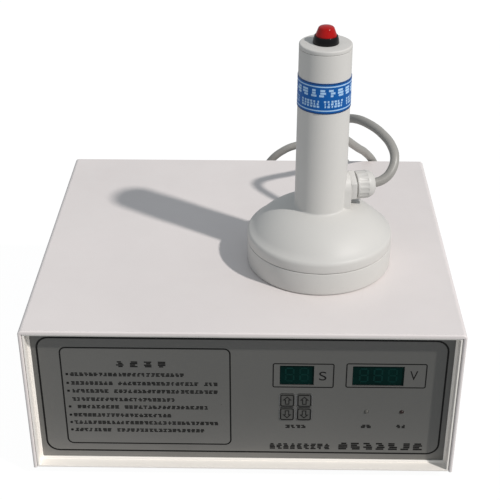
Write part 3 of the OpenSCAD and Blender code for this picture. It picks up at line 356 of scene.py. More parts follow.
# Each finish: a colour of the settings with a factor and a lift, or a colour; its roughness; what sets it apart
FINISHES = {
    "case_powder_paint": (("case_paint",), 0.42, dict(
        shade=0.075, blotch=7, grain=1400, bump=0.12, depth=0.04, wear=0.15, dust=0.05)),
    "frame_cream_paint": (("frame_paint",), 0.34, dict(
        shade=0.03, blotch=20, grain=1500, bump=0.08, depth=0.03, wear=0.1)),
    # dark grey tray paint, partly painted shade for the dark line under the case's front
    "tray_dark_paint": (("tray_paint",), 0.5, dict(shade=0.2, grain=1200, bump=0.15, wear=0.3, dust=0.2)),
    # the film's haze is a painted reflection of the floor, lighter at the lower left
    "panel_grey_film": (("film",), 0.3, dict(
        shade=0.1, blotch=7, spread=0.05, grain=2200, bump=0.05, depth=0.02, haze=0.24, specular=1.0)),
    "panel_black_ink": (("ink",), 0.5, dict(
        shade=0.25, blotch=60, grain=2500, bump=0.05, depth=0.02, specular=0.2)),
    "key_raised_film": (("film", 0.94), 0.33, dict(
        shade=0.1, blotch=25, grain=2200, bump=0.05, depth=0.02, wear=0.2)),
    "window_green_filter": (("window",), 0.12, dict(shade=0.4, blotch=70, spread=0.03, bump=0, specular=0.06)),
    "window_unlit_digit": (("window", 1.7, 0.002), 0.3, dict(shade=0.3, blotch=90, bump=0, specular=0.06)),
    "head_white_plastic": (("nylon",), 0.5, dict(
        shade=0.05, blotch=11, grain=700, bump=0.05, depth=0.04, wear=0.12, dust=0.04, specular=0.4)),
    "gland_white_nylon": (("nylon", 0.97), 0.45, dict(
        shade=0.07, blotch=40, grain=1100, bump=0.1, depth=0.04, wear=0.15, dust=0.06)),
    "label_blue_film": (("label",), 0.4, dict(
        shade=0.22, blotch=30, grain=1600, bump=0.05, depth=0.02, specular=0.25)),
    "label_pale_print": (("label_print",), 0.35, dict(
        shade=0.2, blotch=90, grain=1600, bump=0.03, depth=0.02, specular=0.3)),
    "label_dark_edge": (("label", 0.35), 0.35, dict(shade=0.2, blotch=60, grain=1600, bump=0.03, depth=0.02)),
    "button_red_lens": (("lens",), 0.16, dict(
        shade=0.25, blotch=60, spread=0.04, grain=500, bump=0.03, depth=0.05, coat=0.2, coat_rough=0.05,
        specular=0.25)),
    "black_moulded_plastic": (("black",), 0.42, dict(
        shade=0.25, blotch=30, grain=1300, bump=0.15, depth=0.05, wear=0.25, dust=0.12)),
    "black_gloss_plastic": (("black", 0.4), 0.25, dict(
        shade=0.2, blotch=40, grain=900, bump=0.04, depth=0.03, dust=0.02, specular=0.25)),
    "foot_black_rubber": (srgb(30, 29, 29), 0.72, dict(
        shade=0.3, blotch=50, grain=1500, bump=0.3, depth=0.08, dust=0.25)),
    "cable_grey_sheath": (("cable",), 0.4, dict(
        shade=0.16, blotch=28, spread=0.08, grain=1000, bump=0.15, depth=0.06, dust=0.1)),
    "plated_steel": (srgb(196, 197, 200), 0.28, dict(
        shade=0.15, blotch=60, grain=1500, bump=0.08, depth=0.03, metallic=1.0)),
    "bright_guard_wire": (srgb(214, 215, 218), 0.16, dict(
        shade=0.12, blotch=70, grain=1200, bump=0.04, depth=0.03, metallic=1.0, dust=0.05)),
    "sink_aluminium": (srgb(188, 189, 192), 0.4, dict(
        shade=0.12, blotch=30, grain=800, bump=0.1, metallic=1.0, dust=0.1)),
    "board_green_mask": (srgb(24, 84, 48), 0.3, dict(
        shade=0.25, blotch=60, grain=700, bump=0.1, coat=0.3, dust=0.2)),
    "ferrite_dark_grey": (srgb(58, 57, 58), 0.65, dict(shade=0.2, blotch=60, grain=900, bump=0.25, dust=0.15)),
    "copper_enamelled": (srgb(176, 98, 52), 0.3, dict(shade=0.25, blotch=80, grain=600, bump=0.2, metallic=0.85)),
    "capacitor_yellow_wrap": (srgb(200, 166, 62), 0.3, dict(
        shade=0.12, blotch=40, grain=700, bump=0.06, coat=0.3, dust=0.1)),
    "capacitor_blue_sleeve": (srgb(40, 46, 84), 0.26, dict(
        shade=0.15, blotch=40, grain=700, bump=0.05, coat=0.4, dust=0.1)),
    "lamp_clear_lens": (srgb(92, 91, 87), 0.3, dict(shade=0.12, blotch=200, bump=0, specular=0.3)),
    "lamp_dark_lens": (srgb(44, 30, 28), 0.3, dict(shade=0.2, blotch=200, bump=0, specular=0.3)),
}


@cache
def finish(name):
    """The material of a listed finish, made once."""
    tint, rough, details = FINISHES[name]
    if isinstance(tint[0], str):
        tint = scaled(getattr(colours(), tint[0]), *tint[1:])
    return made(name, tint, rough, **details)


# Shapes

CREASE = math.radians(34)


def shift(x, y, z):
    """A move, in millimetres."""
    return Matrix.Translation((x * MM, y * MM, z * MM))


def turn(degrees, axis):
    return Matrix.Rotation(math.radians(degrees), 4, axis)


def mesh_of(bm, name):
    """A mesh with the shape of a bmesh, which is freed."""
    mesh = bpy.data.meshes.new(name)
    bm.to_mesh(mesh)
    bm.free()
    return mesh


def placed(name, data):
    """A new object in the scene."""
    obj = bpy.data.objects.new(name, data)
    bpy.context.scene.collection.objects.link(obj)
    return obj


def joined(target, part):
    """Adds one bmesh to another and frees it."""
    mesh = mesh_of(part, "part")
    target.from_mesh(mesh)
    bpy.data.meshes.remove(mesh)
    return target


def gathered(parts):
    """Several bmeshes joined into one."""
    return reduce(joined, parts, bmesh.new())


def moved(bm, matrix):
    bmesh.ops.transform(bm, matrix=matrix, verts=bm.verts)
    return bm


def softened(bm, geom, radius, segments=2, affect="EDGES", clamp=True):
    """Rounds edges or corners of a bmesh. The radius is in millimetres."""
    if geom and radius > 0:
        bmesh.ops.bevel(bm, geom=geom, offset=radius * MM, offset_type="OFFSET", affect=affect,
                        segments=segments, profile=0.5, clamp_overlap=clamp, material=-1)
    return bm


def spun(bm, steps, degrees=360):
    """Spins all of a bmesh about Z. A full turn is closed."""
    full = degrees >= 360
    bmesh.ops.spin(bm, geom=list(bm.verts) + list(bm.edges), cent=(0, 0, 0), axis=(0, 0, 1), dvec=(0, 0, 0),
                   angle=math.radians(degrees), steps=steps, use_merge=full, use_duplicate=False)
    if full:
        bmesh.ops.remove_doubles(bm, verts=bm.verts, dist=1e-7)
    bmesh.ops.recalc_face_normals(bm, faces=bm.faces)
    return bm


def raised(bm, vec):
    """Gives flat faces a thickness along a vector in metres."""
    result = bmesh.ops.extrude_face_region(bm, geom=list(bm.faces))
    lifted = [v for v in result["geom"] if isinstance(v, bmesh.types.BMVert)]
    bmesh.ops.translate(bm, vec=vec, verts=lifted)
    bmesh.ops.recalc_face_normals(bm, faces=bm.faces)
    return bm


def turned(profile, steps=0):
    """A closed outline of (radius, height) points turned about Z. A third number rounds that edge."""
    bm = bmesh.new()
    verts = [bm.verts.new((p[0] * MM, 0, p[1] * MM)) for p in profile]
    for a, b in zip(verts, verts[1:] + verts[:1]):
        if a.co.x > 1e-9 or b.co.x > 1e-9:
            bm.edges.new((a, b))
    spun(bm, steps or sizes().turns)
    for radius, height, *rounding in profile:
        if rounding:
            ring = [e for e in bm.edges if all(
                abs(v.co.z - height * MM) < 1e-6 and abs(math.hypot(v.co.x, v.co.y) - radius * MM) < 2e-6
                for v in e.verts)]
            softened(bm, ring, rounding[0], 4)
    return bm


def block(low, high, radius=0.0):
    """A box between two corners in millimetres, with rounded edges."""
    bm = bmesh.new()
    bmesh.ops.create_cube(bm, size=1)
    bmesh.ops.scale(bm, vec=[(h - l) * MM for l, h in zip(low, high)], verts=bm.verts)
    bmesh.ops.translate(bm, vec=[(h + l) / 2 * MM for l, h in zip(low, high)], verts=bm.verts)
    return softened(bm, list(bm.edges), radius)


def rod(sides, radius, length):
    """A straight rod about Z with this many sides, in millimetres."""
    bm = bmesh.new()
    bmesh.ops.create_cone(bm, cap_ends=True, segments=sides, radius1=radius * MM, radius2=radius * MM,
                          depth=length * MM)
    return bm


def bar(x0, x1, z0, z1, corner=0.0, line=0.0):
    """A flat patch on the panel in millimetres, or only its outline where a line width is given."""
    return patch([(x0, z0), (x1, z0), (x1, z1), (x0, z1)], corner, line)


def patch(points, corner=0.0, line=0.0):
    """A flat face with these corners, rounded, or only its outline of that line width."""
    bm = bmesh.new()
    bm.faces.new([bm.verts.new((x * MM, 0, z * MM)) for x, z in points])
    softened(bm, list(bm.verts), corner, 6, "VERTICES")
    if line:
        bm.normal_update()
        rim = bmesh.ops.inset_region(bm, faces=bm.faces[:], thickness=line * MM, use_boundary=True,
                                     use_even_offset=True)["faces"]
        bmesh.ops.delete(bm, geom=[f for f in bm.faces if f not in rim], context="FACES_ONLY")
    return bm


def letter(text, x0, x1, z0, z1):
    """A letter as flat faces, fitted between these edges on the panel."""
    curve = bpy.data.curves.new("letter", "FONT")
    curve.body = text
    source = bpy.data.objects.new("letter", curve)
    mesh = bpy.data.meshes.new_from_object(source)
    bm = bmesh.new()
    bm.from_mesh(mesh)
    bpy.data.meshes.remove(mesh)
    bpy.data.objects.remove(source)
    bpy.data.curves.remove(curve)
    low = [min(v.co[i] for v in bm.verts) for i in (0, 1)]
    high = [max(v.co[i] for v in bm.verts) for i in (0, 1)]
    for v in bm.verts:
        x = x0 + (v.co.x - low[0]) / (high[0] - low[0]) * (x1 - x0)
        z = z0 + (v.co.y - low[1]) / (high[1] - low[1]) * (z1 - z0)
        v.co = (x * MM, 0, z * MM)
    return bm


def sheet_of(parts, y):
    """Flat patches joined and given the print's thickness, with their backs at depth y in millimetres."""
    return moved(raised(gathered(parts), (0, -sizes().print_t, 0)), Matrix.Translation(at(0, y, 0)))


def piece(bm, name, look, body=ROOT, nodes=()):
    """Makes an object of a bmesh, smooth but for its sharp edges, and lets it ride on a body."""
    for face in bm.faces:
        face.smooth = True
    for edge in bm.edges:
        edge.smooth = len(edge.link_faces) != 2 or edge.calc_face_angle(0) < CREASE
    obj = placed(name, mesh_of(bm, name))
    obj.data.materials.append(finish(look))
    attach(obj, body)
    if nodes:
        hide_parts(*nodes)
    return obj


def dressed(node, look, radius=0.0, fold=0.0):
    """A smooth, merged copy of a solid with rounded edges, in place of it. A fold rounds its front edge."""
    bm = bmesh.new()
    bm.from_mesh(frame["nodes"][node].data)
    bmesh.ops.remove_doubles(bm, verts=bm.verts, dist=2e-6)
    bmesh.ops.dissolve_limit(bm, angle_limit=math.radians(0.4), use_dissolve_boundaries=False,
                             verts=bm.verts, edges=bm.edges, delimit=set())
    if fold:
        front = [e for e in bm.edges if all(abs(v.co.y - COVER_LOW.y) < 1e-6 for v in e.verts)
                 and any(f.normal.z > -0.5 for f in e.link_faces if abs(f.normal.y) < 0.5)]
        softened(bm, front, fold, 3, clamp=False)
    obj = piece(bm, node + "_finish", look, BODY_OF[node], [node])
    if radius:
        rounding = obj.modifiers.new("edges", "BEVEL")
        rounding.width = radius * MM
        rounding.segments = 2
        rounding.limit_method = "ANGLE"
        rounding.angle_limit = CREASE
        obj.modifiers.new("normals", "WEIGHTED_NORMAL").keep_sharp = True
    return obj


def painted(node, look):
    """A better finish on a solid that stays as it is."""
    for slot in frame["nodes"][node].material_slots:
        slot.material = finish(look)


# Stage

CAMERA_PLACE = (15.59, -596.77, 527.41)
CAMERA_RIGHT = (0.99985, 0.0172, 0.0)
CAMERA_UP = (-0.0087, 0.5064, 0.8622)
CAMERA_BACK = (0.01484, -0.8621, 0.5065)
CAMERA_LENS = 81.25
SENSOR = 36.0
LIGHT_FROM = (0.877, -0.56, 1.0)
SUN_COLOUR = (1.0, 0.965, 0.935)
SKY_COLOUR = (0.87, 0.94, 1.0, 1)
WHITE = (1, 1, 1, 1)
FLOOR_LIT, FLOOR_SEEN = (0.45, 0.45, 0.45, 1), (0.04, 0.04, 0.04, 1)
FLOOR_SIZE, FLOOR_ROUGH, FLOOR_GLOW = 4, 0.9, 0.965


class SEALER_OT_stage(bpy.types.Operator):
    """Makes the camera, the floor, the main lamp and the light from all round"""
    bl_idname = "sealer.stage"
    bl_label = "Stage"

    def execute(self, context):
        scene = context.scene
        scene.view_settings.view_transform = "Standard"
        camera = placed("camera", bpy.data.cameras.new("camera"))
        camera.data.sensor_width = SENSOR
        camera.data.lens = CAMERA_LENS
        camera.data.clip_start = 0.01
        aim = Matrix((CAMERA_RIGHT, CAMERA_UP, CAMERA_BACK)).transposed().to_quaternion().to_matrix()
        camera.matrix_world = Matrix.Translation(at(*CAMERA_PLACE)) @ aim.to_4x4()
        scene.camera = camera

        lamp = placed("main_lamp", bpy.data.lights.new("main_lamp", "SUN"))
        lamp.data.energy = sizes().sun_power
        lamp.data.angle = sizes().sun_angle
        lamp.data.color = SUN_COLOUR
        lamp.rotation_euler = Vector(LIGHT_FROM).to_track_quat("Z", "Y").to_euler()
        lamp.location = Vector(LIGHT_FROM)

        world = bpy.data.worlds.new("studio")
        world.use_nodes = True
        scene.world = world
        tree = world.node_tree
        back = tree.nodes["Background"]
        path = tree.nodes.new("ShaderNodeLightPath")
        seen = math_node(tree, "MAXIMUM", path.outputs["Is Camera Ray"], path.outputs["Is Transmission Ray"])
        tree.links.new(mixed(tree, seen, SKY_COLOUR, WHITE), back.inputs["Color"])
        tree.links.new(ranged(tree, seen, 0, 1, sizes().fill_power, 1.0), back.inputs["Strength"])

        bm = bmesh.new()
        bmesh.ops.create_grid(bm, x_segments=1, y_segments=1, size=FLOOR_SIZE)
        floor = placed("floor", mesh_of(bm, "floor"))
        floor.data.materials.append(self.floor_finish())
        return {"FINISHED"}

    def floor_finish(self):
        mat, tree, shader = new_material("pale_floor")
        shader["Roughness"].default_value = FLOOR_ROUGH
        shader["Emission Color"].default_value = WHITE
        seen = tree.nodes.new("ShaderNodeLightPath").outputs["Is Camera Ray"]
        tree.links.new(mixed(tree, seen, FLOOR_LIT, FLOOR_SEEN), shader["Base Color"])
        tree.links.new(product(tree, seen, FLOOR_GLOW), shader["Emission Strength"])
        return mat


# Cable

FROM_HEAD = [
    (66, 98.8, 170.5), (78, 101.5, 170.5), (90, 104.3, 170.6), (97, 106.8, 172.6), (102, 110.8, 177),
    (104.4, 117, 183.2), (102.8, 125.5, 188.6), (97.2, 135.5, 193), (88, 147.5, 195.6), (78.4, 160.5, 194),
    (71.6, 174, 186.6), (69.4, 188, 174.4), (73.4, 203, 160.6), (81, 219, 147.8), (89, 235.5, 135.2),
    (96.5, 250.5, 124), (104, 262, 111), (110, 271, 95), (114, 277, 77), (116, 281, 58), (116.5, 284.5, 39),
    (116, 291, 20), (114.5, 302, 5), (112, 317, -3), (108, 332, -4.7), (102.5, 346, -4.75),
]
TO_CASE = [
    (19.5, 344, 2), (16, 330, 4.5), (11.5, 317, 12), (8, 307, 24), (6, 300.5, 40), (6, 297, 58),
    (9.5, 296, 76), (17, 296, 92), (28.5, 296.5, 103), (42.5, 297, 108.8), (57, 297.8, 109.5),
    (70, 299, 104.5), (80.5, 300.5, 95.5), (88.8, 303, 82.5), (94, 304.5, 67.5), (96, 302.5, 51.5),
    (96, 294, 39.5), (96, 282.5, 34.5), (96, 271, 34), (96, 258, 34), (96, 246, 34),
]
COIL = (60, 358)
COIL_OUT, COIL_IN = 39.25, 32.75
COIL_LOW, COIL_HIGH = -4.75, 1.75
COIL_END, COIL_STEP = 1260, 18
COIL_INWARD, COIL_RISE, COIL_OUTWARD = (300, 360), (590, 660), (895, 950)
TIE_LOW, TIE_HIGH, TIE_T = (-2.5, -7.3, -7.95), (2.5, 7.3, 5.9), 0.7
LAP_LOW, LAP_HIGH = (-2.3, -3.5, 5.7), (2.3, 4.5, 6.5)
TIE_TURN = -50


def eased(value, low, high):
    """0 before low, 1 after high, smooth between."""
    t = min(1, max(0, (value - low) / (high - low)))
    return t * t * (3 - 2 * t)


def coil_point(angle):
    """The coil's line: a lap outside, two inside and half a lap back outside, in two layers."""
    inside = eased(angle, *COIL_INWARD) - eased(angle, *COIL_OUTWARD)
    r = COIL_OUT + (COIL_IN - COIL_OUT) * inside
    z = COIL_LOW + (COIL_HIGH - COIL_LOW) * eased(angle, *COIL_RISE)
    a = math.radians(angle)
    return COIL[0] + r * math.cos(a), COIL[1] + r * math.sin(a), z


class SEALER_OT_cable(bpy.types.Operator):
    """Makes the grey cable from the head's gland to the rear gland, its spare length coiled and tied"""
    bl_idname = "sealer.cable"
    bl_label = "Cable"

    def execute(self, context):
        route = FROM_HEAD + [coil_point(a) for a in range(0, COIL_END + 1, COIL_STEP)] + TO_CASE
        curve = bpy.data.curves.new("cable", "CURVE")
        curve.dimensions = "3D"
        curve.bevel_depth = sizes().cable_d / 2
        curve.bevel_resolution = 5
        curve.resolution_u = 8
        curve.use_fill_caps = True
        line = curve.splines.new("BEZIER")
        line.bezier_points.add(len(route) - 1)
        for point, place in zip(line.bezier_points, route):
            point.co = at(*place)
            point.handle_left_type = point.handle_right_type = "AUTO"
        curve.materials.append(finish("cable_grey_sheath"))
        cable = placed("cable_sheath", curve)
        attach(cable, ROOT)
        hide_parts("cable_from_head", "cable_coil", "cable_to_case")
        tie = self.tie()
        return {"FINISHED"}

    def tie(self):
        """A strap with a lapped end round the coil's turns."""
        bm = block(TIE_LOW, TIE_HIGH)
        sides = [e for e in bm.edges if abs(e.verts[0].co.x - e.verts[1].co.x) > MM]
        softened(bm, sides, 4.5, 5)
        bmesh.ops.delete(bm, geom=[f for f in bm.faces if abs(f.normal.x) > 0.9], context="FACES")
        bmesh.ops.solidify(bm, geom=list(bm.faces), thickness=TIE_T * MM)
        joined(bm, block(LAP_LOW, LAP_HIGH, 0.25))
        place = Matrix.Translation(at(*COIL, 0)) @ turn(TIE_TURN, "Z") @ shift(0, (COIL_OUT + COIL_IN) / 2, 0)
        return piece(moved(bm, place), "coil_tie", "black_moulded_plastic")


# Case and front

HEM_ROUND = 1.1
FINE_EDGE = 0.12
DIGIT_W, DIGIT_H, DIGIT_T = 6.4, 11.4, 1.1
DIGIT_PITCH = 9.6


class SEALER_OT_case(bpy.types.Operator):
    """Finishes the folded cover, the base tray, the feet and the screws under the case"""
    bl_idname = "sealer.case"
    bl_label = "Case"

    def execute(self, context):
        edge = sizes().edge_r / MM
        dressed("case_cover", "case_powder_paint", edge, fold=HEM_ROUND)
        # the tray's dark grey is partly painted shade under the case's front edge
        dressed("base_tray", "tray_dark_paint", edge * 0.6)
        dressed("rubber_feet", "foot_black_rubber")
        dressed("case_screws", "plated_steel")
        return {"FINISHED"}


class SEALER_OT_front(bpy.types.Operator):
    """Finishes the frame that lines the hood, the film, the windows with their digits, and the lamps"""
    bl_idname = "sealer.front"
    bl_label = "Front"

    def execute(self, context):
        dressed("front_frame", "frame_cream_paint", sizes().edge_r / MM)
        dressed("panel_film", "panel_grey_film")
        painted("front_plate", "sink_aluminium")
        for node in ("time_window", "volt_window"):
            dressed(node, "window_green_filter", FINE_EDGE)
        self.digits("time_window", 2)
        self.digits("volt_window", 3)
        dressed("work_lamp", "lamp_clear_lens")
        dressed("ready_lamp", "lamp_dark_lens")
        return {"FINISHED"}

    def digits(self, node, count):
        """Faint, unlit digits of seven segments on a window."""
        window = (middle_of(node) - CASE) / MM
        reach = DIGIT_H / 4 - DIGIT_T * 0.8
        parts = []
        for k in range(count):
            x = window.x + (k - (count - 1) / 2) * DIGIT_PITCH
            for level in (-1, 0, 1):
                low = window.z + level * (DIGIT_H - DIGIT_T) / 2 - DIGIT_T / 2
                parts.append(bar(x - DIGIT_W / 2 + DIGIT_T, x + DIGIT_W / 2 - DIGIT_T, low, low + DIGIT_T))
            for side in (-1, 1):
                left = x + side * (DIGIT_W - DIGIT_T) / 2 - DIGIT_T / 2
                for level in (-1, 1):
                    z = window.z + level * (DIGIT_H - DIGIT_T) / 4
                    parts.append(bar(left, left + DIGIT_T, z - reach, z + reach))
        piece(sheet_of(parts, front_of(node)), node + "_digits", "window_unlit_digit")


# Print on the panel, in the case's millimetres

# Outlines: left, right, lower and upper edge, corner radius and line width
OUTLINE = (-136.3, 136, 7.7, 104.1, 9, 1.25)
BOX = (-121.3, -7.6, 14.3, 96, 4.5, 1.0)
UNIT_FRAMES = ((20.2, 61.2, 64.5, 84.5, 1.5, 0.8), (69, 122.7, 64.9, 85, 1.5, 0.8))
UNIT_LETTERS = (("S", 51.2, 56.1, 70.7, 77.9), ("V", 111.5, 116.8, 71.6, 79.1))
TITLE_FROM, TITLE_PITCH, TITLE_SIZE, TITLE_Z = -81.4, 9.3, 5.0, 82.4
ROW_Z = (73.8, 66.5, 59.9, 52.9, 46.5, 39.4, 33, 26.5)
ROW_END = (-37.5, -14, -14.5, -42, -20.8, -47, -13.2, -24.6)
ROW_START = -115.6
BULLET_X, BULLET_R = -117.3, 0.9
NO_BULLET = 3
CELL, CELL_H = 3.2, 3.1
CELL_GAP, EMPTY_CELLS = 0.5, 0.05
# Captions: the middle of each, how many signs and their size
CAPTIONS = ((36.3, 31.3, 4, 3), (84.5, 32, 2, 3.1), (108.6, 32.2, 2, 3.1))
# Rows at the lower right: how many signs, the first one's middle, their pitch, height on the panel and size
TYPE_ROWS = ((9, 20.7, 4.7, 13.8, 3.7, 5.2), (7, 69.5, 8.6, 14.4, 6.2, 6.4))
# The keys, and which way the arrow of each points
KEYS = {"key_tens_up": 1, "key_units_up": 1, "key_tens_down": -1, "key_units_down": -1}
KEY_BORDER = (4.7, 5)
ARROW = ((0, 3.5), (3.1, 0.2), (1.5, 0.2), (1.5, -3.3), (-1.5, -3.3), (-1.5, 0.2), (-3.1, 0.2))


def greeked(draw, x, z, width, height, bars=3):
    """One sign: short level bars of chance lengths, one above another."""
    parts = []
    pitch = height / bars
    for k in range(bars):
        low = z - height / 2 + k * pitch + pitch * 0.1
        left, right = (width / 2 * draw.choice((1.0, 1.0, 0.75, 0.4)) for _ in range(2))
        parts.append(bar(x - left, x + right, low, low + pitch * 0.8))
    return parts


class SEALER_OT_panel_print(bpy.types.Operator):
    """Prints the panel: outlines, rows of short bars, unit letters and captions"""
    bl_idname = "sealer.panel_print"
    bl_label = "Panel print"

    def execute(self, context):
        draw = random.Random(41)
        title, rows, captions, rating = [], [], [], []
        for k in range(4):
            title += greeked(draw, TITLE_FROM + k * TITLE_PITCH, TITLE_Z, TITLE_SIZE, TITLE_SIZE, 4)
        for i, (z, end) in enumerate(zip(ROW_Z, ROW_END)):
            if i != NO_BULLET:
                rows.append(bar(BULLET_X - BULLET_R, BULLET_X + BULLET_R, z - BULLET_R, z + BULLET_R, 0.5))
            for k in range(int((end - ROW_START) / CELL)):
                if draw.random() > EMPTY_CELLS:
                    rows += greeked(draw, ROW_START + (k + 0.5) * CELL, z, CELL - CELL_GAP, CELL_H)
        for x, z, count, size in CAPTIONS:
            for k in range(count):
                captions += greeked(draw, x + (k - (count - 1) / 2) * (size + 0.6), z, size, size)
        for count, x, pitch, z, width, height in TYPE_ROWS:
            for k in range(count):
                rating += greeked(draw, x + k * pitch, z, width, height, 4)
        for name, parts in (
            ("panel_outline", [bar(*OUTLINE)]),
            ("instruction_box", [bar(*BOX)]),
            ("instruction_title", title),
            ("instruction_rows", rows),
            ("unit_frames", [bar(*edges) for edges in UNIT_FRAMES]),
            ("unit_letters", [letter(*unit) for unit in UNIT_LETTERS]),
            ("control_captions", captions),
            ("type_bars", rating),
        ):
            piece(sheet_of(parts, front_of("panel_film")), name, "panel_black_ink")
        return {"FINISHED"}


class SEALER_OT_keys(bpy.types.Operator):
    """Finishes the four keys, each with a printed border and a hollow arrow"""
    bl_idname = "sealer.keys"
    bl_label = "Keys"

    def execute(self, context):
        for node, up in KEYS.items():
            dressed(node, "key_raised_film", FINE_EDGE)
            x, _, z = (middle_of(node) - CASE) / MM
            w, h = KEY_BORDER
            border = bar(x - w, x + w, z - h, z + h, 1.5, 0.8)
            arrow = patch([(x + a, z + up * b) for a, b in ARROW], 0, 0.65)
            piece(sheet_of([border, arrow], front_of(node)), node + "_print", "panel_black_ink", BODY_OF[node])
        return {"FINISHED"}


# Sealing head, in millimetres above the case's top. Outlines are (radius, height, rounding).

DISC_R, DISC_H = 50.5, 17.0
SEAM = 17.4
RIM_H, SHOULDER_H = 24.7, 44.2
HANDLE_R, HANDLE_TOP_R, TUBE_TOP, HANDLE_H = 17.8, 17.3, 158.0, 161.0
CAP_LOW = TUBE_TOP + 0.15
DOME_BULGE, DOME_STEPS = 3.5, 14
COVER_OUTLINE = ((0, 0), (DISC_R, 0, 2.0), (DISC_R, DISC_H, 0.5), (46.6, DISC_H), (46.6, 20.8), (44.2, 20.8),
                 (44.2, 3), (0, 3))
RIM_OUTLINE = ((46.9, SEAM), (DISC_R, SEAM, 0.5), (DISC_R, RIM_H, 1.9))
TUBE_OUTLINE = ((HANDLE_R, SHOULDER_H, 1.2), (HANDLE_TOP_R, TUBE_TOP, 0.3), (13.7, TUBE_TOP), (14.2, 44),
                (14.4, 40.2), (43, 22.6), (46.9, 20.9))
CAP_OUTLINE = ((6.1, CAP_LOW), (HANDLE_TOP_R, CAP_LOW, 0.35), (HANDLE_TOP_R, HANDLE_H, 1.0), (6.1, HANDLE_H))
GLAND_TURN, GLAND_H = 13.0, 56.0
BOSS_BACK, BOSS_FACE, BOSS_R, BOSS_SINK = 8, 18.8, 11.3, 3
LABEL_LOW, LABEL_H, LABEL_GLUE, LABEL_T = 118.7, 21.0, 0.05, 0.3
# Lines round the label: from and to, above its lower edge
LABEL_LINES = ((1.9, 2.7), (LABEL_H - 2.7, LABEL_H - 1.9))
LABEL_EDGES = ((0.1, 0.8), (LABEL_H - 0.8, LABEL_H - 0.1))
LABEL_PRINT_LIFT, LABEL_PRINT_T = 0.02, 0.04
# Rows on the label: how many signs, their pitch and start in degrees, the row's height, a sign's height and
# its width in degrees, and after how many signs a gap comes
LABEL_ROWS = ((18, 20, 4, 11.7, 5.4, 14, 0), (48, 7.5, 0, 4.3, 5.2, 5.4, 7))
BUTTON_STEPS = 64
COLLAR_OUTLINE = ((4.5, -12), (6, -12), (6, 0.02), (8.6, 0.02, 0.25), (8.2, 3.0), (7.6, 5.0, 0.2), (7.2, 5.0, 0.12),
                  (7.2, 0.7), (4.5, 0.7))
LENS_OUTLINE = ((0, -9.5), (4.2, -9.5), (4.2, 3.0), (6.9, 3.0, 0.2), (6.9, 5.4, 0.4), (5.0, 10.5, 0.8), (2.6, 11.2),
                (0, 11.4))


def dome_points():
    """Points of the dome's curve from the rim to the handle."""
    p, q = Vector((DISC_R - 2, RIM_H)), Vector((HANDLE_R, SHOULDER_H))
    out = Vector((q.y - p.y, p.x - q.x)).normalized()
    return [tuple(p + (q - p) * t + out * 4 * DOME_BULGE * t * (1 - t)) for t in
            (i / DOME_STEPS for i in range(1, DOME_STEPS))]


def handle_radius(height):
    return HANDLE_R + (HANDLE_TOP_R - HANDLE_R) * (height - SHOULDER_H) / (TUBE_TOP - SHOULDER_H)


class SEALER_OT_head(bpy.types.Operator):
    """Makes the bell with its handle and gland boss, the coil cover below it and the handle's cap"""
    bl_idname = "sealer.head"
    bl_label = "Sealing head"

    def execute(self, context):
        bell = joined(turned((*RIM_OUTLINE, *dome_points(), *TUBE_OUTLINE)), self.boss())
        for bm, name, node in (
            (turned(COVER_OUTLINE), "coil_cover_finish", "coil_cover"),
            (bell, "bell_and_handle", "head_housing"),
            (turned(CAP_OUTLINE), "handle_cap_finish", "handle_cap"),
        ):
            piece(moved(bm, Matrix.Translation(HEAD)), name, "head_white_plastic", nodes=[node])
        return {"FINISHED"}

    def boss(self):
        """The flat seat of the gland on the handle's side, round at its top and running down into the bell."""
        bm = bmesh.new()
        bmesh.ops.create_circle(bm, cap_ends=True, segments=48, radius=BOSS_R * MM)
        for v in bm.verts:
            if v.co.x > 1e-6:
                v.co.x = (GLAND_H - SHOULDER_H + BOSS_SINK) * MM
        raised(bm, (0, 0, (BOSS_FACE - BOSS_BACK) * MM))
        softened(bm, [e for e in bm.edges if all(v.co.z > 1e-6 for v in e.verts)], 0.6, 3)
        return moved(bm, turn(GLAND_TURN, "Z") @ shift(BOSS_BACK, 0, GLAND_H) @ turn(90, "Y"))


